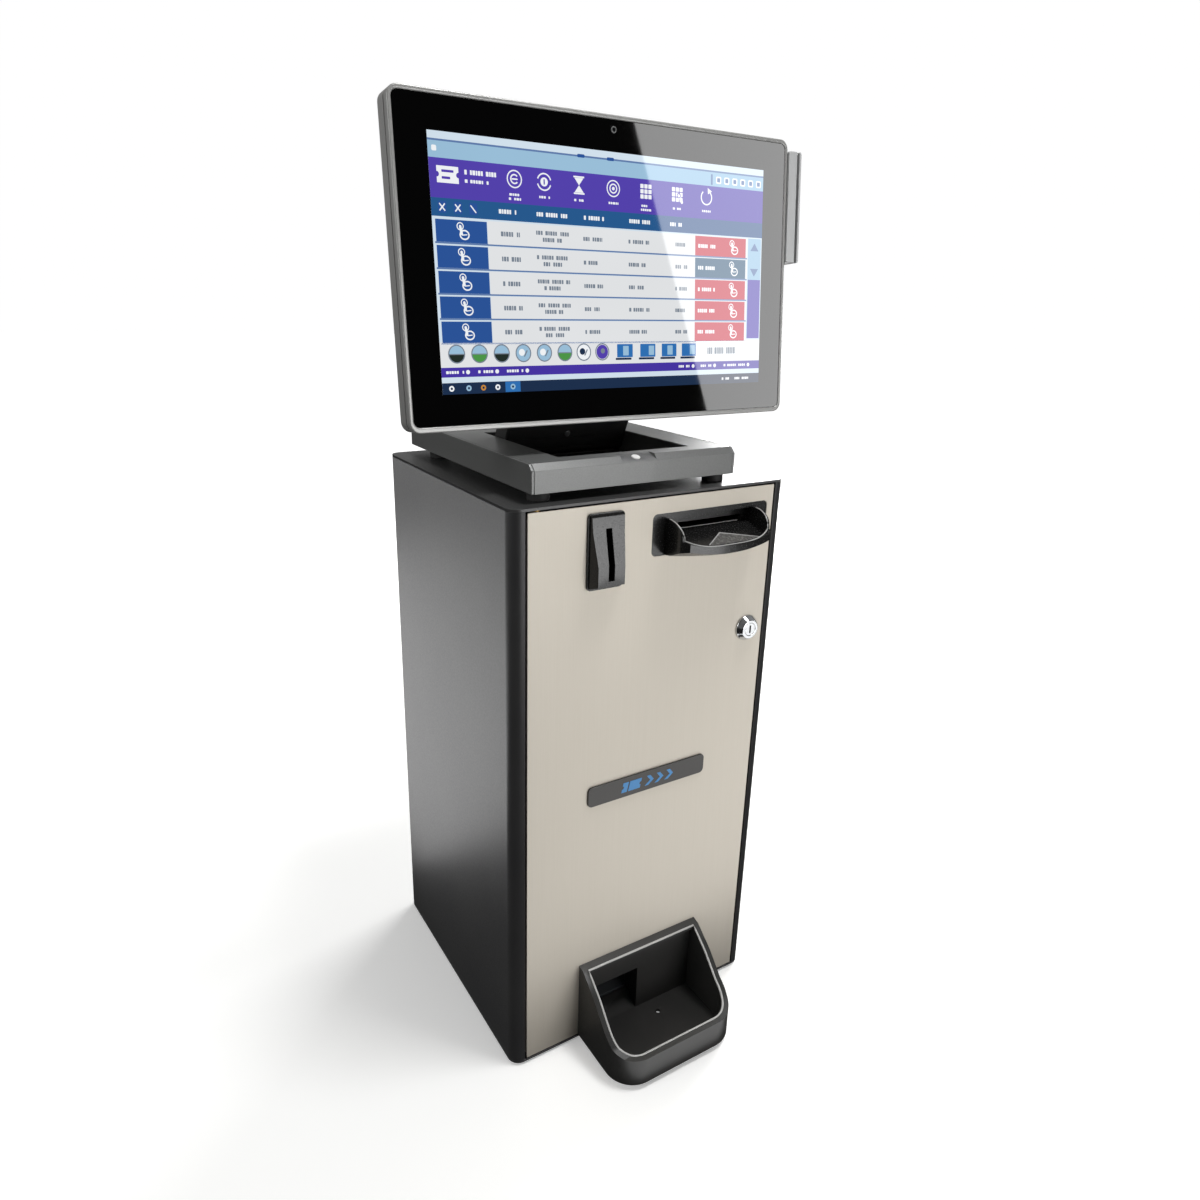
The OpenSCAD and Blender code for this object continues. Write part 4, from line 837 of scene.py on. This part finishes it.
def paintFooter():
    y = 162.6
    paintBar(0, 153.4, 335, 173, "paper", 1)
    for i, x in enumerate((14, 34, 54, 74, 94, 114, 133, 152)):
        paintRing(x, y, 7.4, 1.0, "word", 3)
        if i in (0, 1, 2, 5):
            paintDisc(x, y, 6.4, "sky", 2)
            paintDisc(x, y, 6.4, "green" if i in (1, 5) else "earth", 3, 0, 180)
            paintStroke(x - 5.8, y + 0.2, x + 5.8, y + 0.2, 0.8, "word", 4)
        elif i == 7:
            paintDisc(x, y, 6.0, "purple", 2)
            paintDisc(x + 0.6, y - 0.8, 2.2, "word", 3)
        else:
            paintDisc(x, y, 6.4, "sky" if i != 6 else "white", 2)
            paintDisc(x - 1.4, y - 0.6, 2.8, "white" if i != 6 else "night", 3)
            paintStroke(x + 1, y + 2.4, x + 3.4, y - 1.8, 1.2, "word", 3)
    for i, x in enumerate((176, 201, 225, 248)):
        paintBar(x - 8.4, y - 6.4, x + 8.4, y + 5, "blue", 2, 0.6)
        paintBar(x - 2 + i % 2 * 3, y - 4.8, x + 4 + i % 2 * 3, y + 3.4, "sky", 3, 0.4)
        paintBar(x - 10, y + 5.4, x + 7, y + 7.2, "night", 2, 0.6)
    paintBar(256, 154.4, 334.4, 172, "white", 2)
    paintWords(270, 304, y + 0.5, 6, "word", 3, 1)
    paintBar(0, 173, 335, 180.6, "footer", 2)
    for x0, x1, seed in ((4, 20, 0), (32, 46, 2), (58, 74, 3), (236, 250, 1), (262, 276, 4), (290, 318, 5)):
        paintWords(x0, x1, 176.8, 2.2, "white", 3, seed)
        paintDisc(x1 + 3, 176.8, 1.7, "white", 3)
    paintBar(0, 180.6, 335, 185, "band", 2)
    paintBar(0, 185, 335, 194, "night", 2)
    paintBar(56, 185.3, 70, 193.7, "blue", 3)
    for i, x in enumerate((8, 23, 36, 49, 63)):
        paintDisc(x, 189.5, 2.3, ("white", "sky", "amber", "white", "sky")[i], 4)
        paintDisc(x, 189.5, 1.0, "night", 5)
    for x0, x1, seed in ((288, 298, 2), (304, 322, 4)):
        paintWords(x0, x1, 189.4, 2.2, "white", 3, seed)


def backlitInk(name, hexColour):
    # a liquid-crystal picture under the same glass: lit from behind, a little uneven in brightness across it
    material, tree, shader, where = startMaterial(
        "backlit." + name, {"IOR": 1.52, "Roughness": 0.03, "Base Color": linear("#050505")}
    )
    glow = spread(tree, grain(tree, where, 90 * mm), 0.92, 1.0)
    tree.links.new(glow, shader.inputs["Emission Strength"])
    shader.inputs["Emission Color"].default_value = linear(hexColour)
    return material


def makePicture():
    paintHeader()
    paintHeaderIcons()
    paintTable()
    paintFooter()
    piece = placeMesh("displayPicture", picture["points"], picture["faces"], screenFrame)
    inks = list(pictureSettings["inks"])
    for name in inks:
        piece.data.materials.append(backlitInk(name, pictureSettings["inks"][name]))
    for polygon, ink in zip(piece.data.polygons, picture["inks"]):
        polygon.material_index = inks.index(ink)
    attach(piece, "screen")
    return piece


displayPicture = makePicture()
print("picture", len(picture["faces"]), "shapes")


# Floor and light

stageSettings = {
    "floorRadius": 16, "floorColour": "#F3F3F1", "shellRadius": 16, "shellSides": 48,
    # the floor's glow rises from near to far between these distances in metres
    "floorGlow": {"near": 0.3, "far": 0.95, "from": 0.6, "to": 3.0},
    "world": {"above": 0.34, "level": 0.30, "below": 0.03, "frontDim": 0.12},
    "lights": {
        # a broad soft box in front and to the right, for the door
        "frontLight": {"position": (0.9, -2.8, 0.35), "target": (0, -0.1, 0.2), "size": (1.8, 1.5), "power": 43},
        # its sheet on the floor, for the chrome, the cup's front and the undersides
        "frontSheet": {"position": (0.5, -0.86, 0.004), "target": (0.5, -0.86, 1), "size": (1.4, 1.24), "power": 7},
        # a card behind and to the left, and its sheet on the floor: their sheen runs down the side panel
        "sideCard": {"position": (-1.5, 1.9, 0.7), "target": (-0.15, 0.1, 0.42), "size": (1.1, 1.0), "power": 13},
        "sideSheet": {"position": (-0.6, 1.0, 0.01), "target": (-0.6, 1.0, 1), "size": (0.8, 1.6), "power": 9},
        # a small soft fill on the left, for the terminal's side
        "leftFill": {"position": (-2.2, -0.2, 1.3), "target": (-0.2, 0, 0.75), "size": (1.0, 1.0), "power": 13},
        # a card behind and to the right, for the top faces and the bright right-hand edges
        "backCard": {"position": (2.3, 1.3, 0.95), "target": (0, 0, 0.6), "size": (1.6, 1.0), "power": 95},
        # a small lamp overhead, for the crisp lines along the upper edges and for the floors of the trays
        "topLamp": {"position": (0.35, -0.5, 2.3), "target": (0, -0.15, 0.6), "size": (0.45, 0.45), "power": 22},
    },
    "glassCard": {"distance": 1.1, "top": (21, 121), "bottom": (102, -120), "radiance": 5.9},
}


def addFloor(settings):
    # white paper: lit by the lights near the machine, and glowing further out so that it runs into the backdrop
    rim = arcPoints((0, 0), settings["floorRadius"], 0, 360, 64)[:-1]
    floor = placeMesh("floor", [(x, y, 0) for x, y in rim], [tuple(range(64))])
    material, tree, shader, where = startMaterial("paleStudioFloor", {"Roughness": 0.9})
    shader.inputs["Emission Color"].default_value = linear("#FFFFFF")
    reach = addNode(tree, "ShaderNodeVectorMath", {"operation": "LENGTH"}, {0: where}).outputs["Value"]
    glow = spread(tree, reach, *(settings["floorGlow"][k] for k in ("near", "far", "from", "to")))
    tree.links.new(glow, shader.inputs["Emission Strength"])
    tree.links.new(
        blendColours(tree, grain(tree, where, 300 * mm), (settings["floorColour"], "#F6F6F4")),
        shader.inputs["Base Color"],
    )
    floor.data.materials.append(material)
    floor.visible_diffuse = False
    floor.visible_glossy = False
    return floor


def addShell(settings):
    # a pale dome behind everything, which only the camera sees
    radius, sides = settings["shellRadius"], settings["shellSides"]
    rings = []
    for degrees in range(-4, 90, 6):
        up = math.radians(degrees)
        ring = arcPoints((0, 0), radius * math.cos(up), 0, 360, sides)[:-1]
        rings.append([(x, y, radius * math.sin(up)) for x, y in ring])
    points = [p for ring in rings for p in ring]
    faces = [
        (r * sides + i, r * sides + (i + 1) % sides, (r + 1) * sides + (i + 1) % sides, (r + 1) * sides + i)
        for r in range(len(rings) - 1) for i in range(sides)
    ]
    faces.append(tuple(range(len(points) - sides, len(points))))
    shell = placeMesh("studioShell", points, faces)
    material, _, shader, _ = startMaterial("paleStudioShell", {"Base Color": linear("#000000")})
    shader.inputs["Emission Color"].default_value = linear("#FFFFFF")
    shader.inputs["Emission Strength"].default_value = 1.0
    shell.data.materials.append(material)
    for kind in ("diffuse", "glossy", "transmission", "shadow"):
        setattr(shell, "visible_" + kind, False)
    return shell


def addAreaLight(name, settings):
    data = bpy.data.lights.new(name, "AREA")
    data.shape = "RECTANGLE"
    data.size, data.size_y = settings["size"]
    data.energy = settings["power"]
    light = bpy.data.objects.new(name, data)
    aim = Vector(settings["target"]) - Vector(settings["position"])
    light.matrix_world = Matrix.Translation(settings["position"]) @ aim.to_track_quat("-Z", "Y").to_matrix().to_4x4()
    light.visible_camera = False
    bpy.context.scene.collection.objects.link(light)
    return light


def lightOnly(light, receivers):
    group = bpy.data.collections.new(light.name + "Receivers")
    for piece in receivers:
        group.objects.link(piece)
    light.light_linking.receiver_collection = group


def addGlassCard(settings, camera):
    # a tall soft box that only the glass sees: its edge falls across the screen as a slanted line
    eye = screenFrame.inverted() @ camera.matrix_world.translation
    mirrored = Vector((eye.x, -eye.y, eye.z))

    def seenThrough(x, z):
        towards = Vector((x * mm, 0, z * mm)) - mirrored
        return mirrored + towards * (mirrored.y + settings["distance"]) / mirrored.y

    top, bottom = seenThrough(*settings["top"]), seenThrough(*settings["bottom"])
    edge = (top - bottom).normalized()
    facing = Vector((0, -1, 0))
    across = edge.cross(facing)
    length, width = (top - bottom).length * 1.6, (top - bottom).length * 1.2
    centre = (top + bottom) / 2 + across * width / 2
    turn = Matrix((across, facing.cross(across), facing)).transposed().to_4x4()
    power = settings["radiance"] * math.pi * width * length
    light = addAreaLight("glassCard", {
        "position": (0, 0, 0), "target": (0, 1, 0), "size": (width, length), "power": power,
    })
    light.matrix_world = screenFrame @ Matrix.Translation(centre) @ turn
    light.visible_diffuse = False
    return light


def addWorld(settings):
    # even above, dim in front and dark below, so that upright faces shade off downwards
    world = bpy.data.worlds.new("world")
    bpy.context.scene.world = world
    world.use_nodes = True
    tree = world.node_tree
    where = addNode(tree, "ShaderNodeTexCoord").outputs["Generated"]
    parts = addNode(tree, "ShaderNodeSeparateXYZ", None, {"Vector": where}).outputs
    height = spread(tree, parts["Z"], 0, 1, -1, 1)
    ramp = addNode(tree, "ShaderNodeValToRGB", None, {"Fac": height})
    stops = ramp.color_ramp.elements
    for stop, position, key in ((stops[0], 0.42, "below"), (stops[1], 1.0, "above")):
        stop.position = position
        stop.color = (settings[key],) * 3 + (1,)
    middle = stops.new(0.52)
    middle.color = (settings["level"],) * 3 + (1,)
    tree.links.new(ramp.outputs["Color"], tree.nodes["Background"].inputs["Color"])
    tree.links.new(
        spread(tree, parts["Y"], settings["frontDim"], 1.0, -0.7, 0.2), tree.nodes["Background"].inputs["Strength"]
    )


addFloor(stageSettings)
addShell(stageSettings)
addWorld(stageSettings["world"])
mirrors = [frame["nodes"]["cover_glass"], displayPicture]
others = [piece for piece in bpy.data.objects if piece.type == "MESH" and piece not in mirrors]
flanks = [frame["nodes"][name] for name in ("cabinet_wrap", "bottom_panel", "coin_cup", "glides")]
for lightName, lightSettings in stageSettings["lights"].items():
    studioLight = addAreaLight(lightName, lightSettings)
    if lightName.startswith("side"):
        lightOnly(studioLight, flanks)
    elif lightName == "frontSheet":
        lightOnly(studioLight, [piece for piece in others if piece != frame["nodes"]["cabinet_wrap"]])
    else:
        lightOnly(studioLight, others)
lightOnly(addGlassCard(stageSettings["glassCard"], camera), mirrors)
print("stage lit")
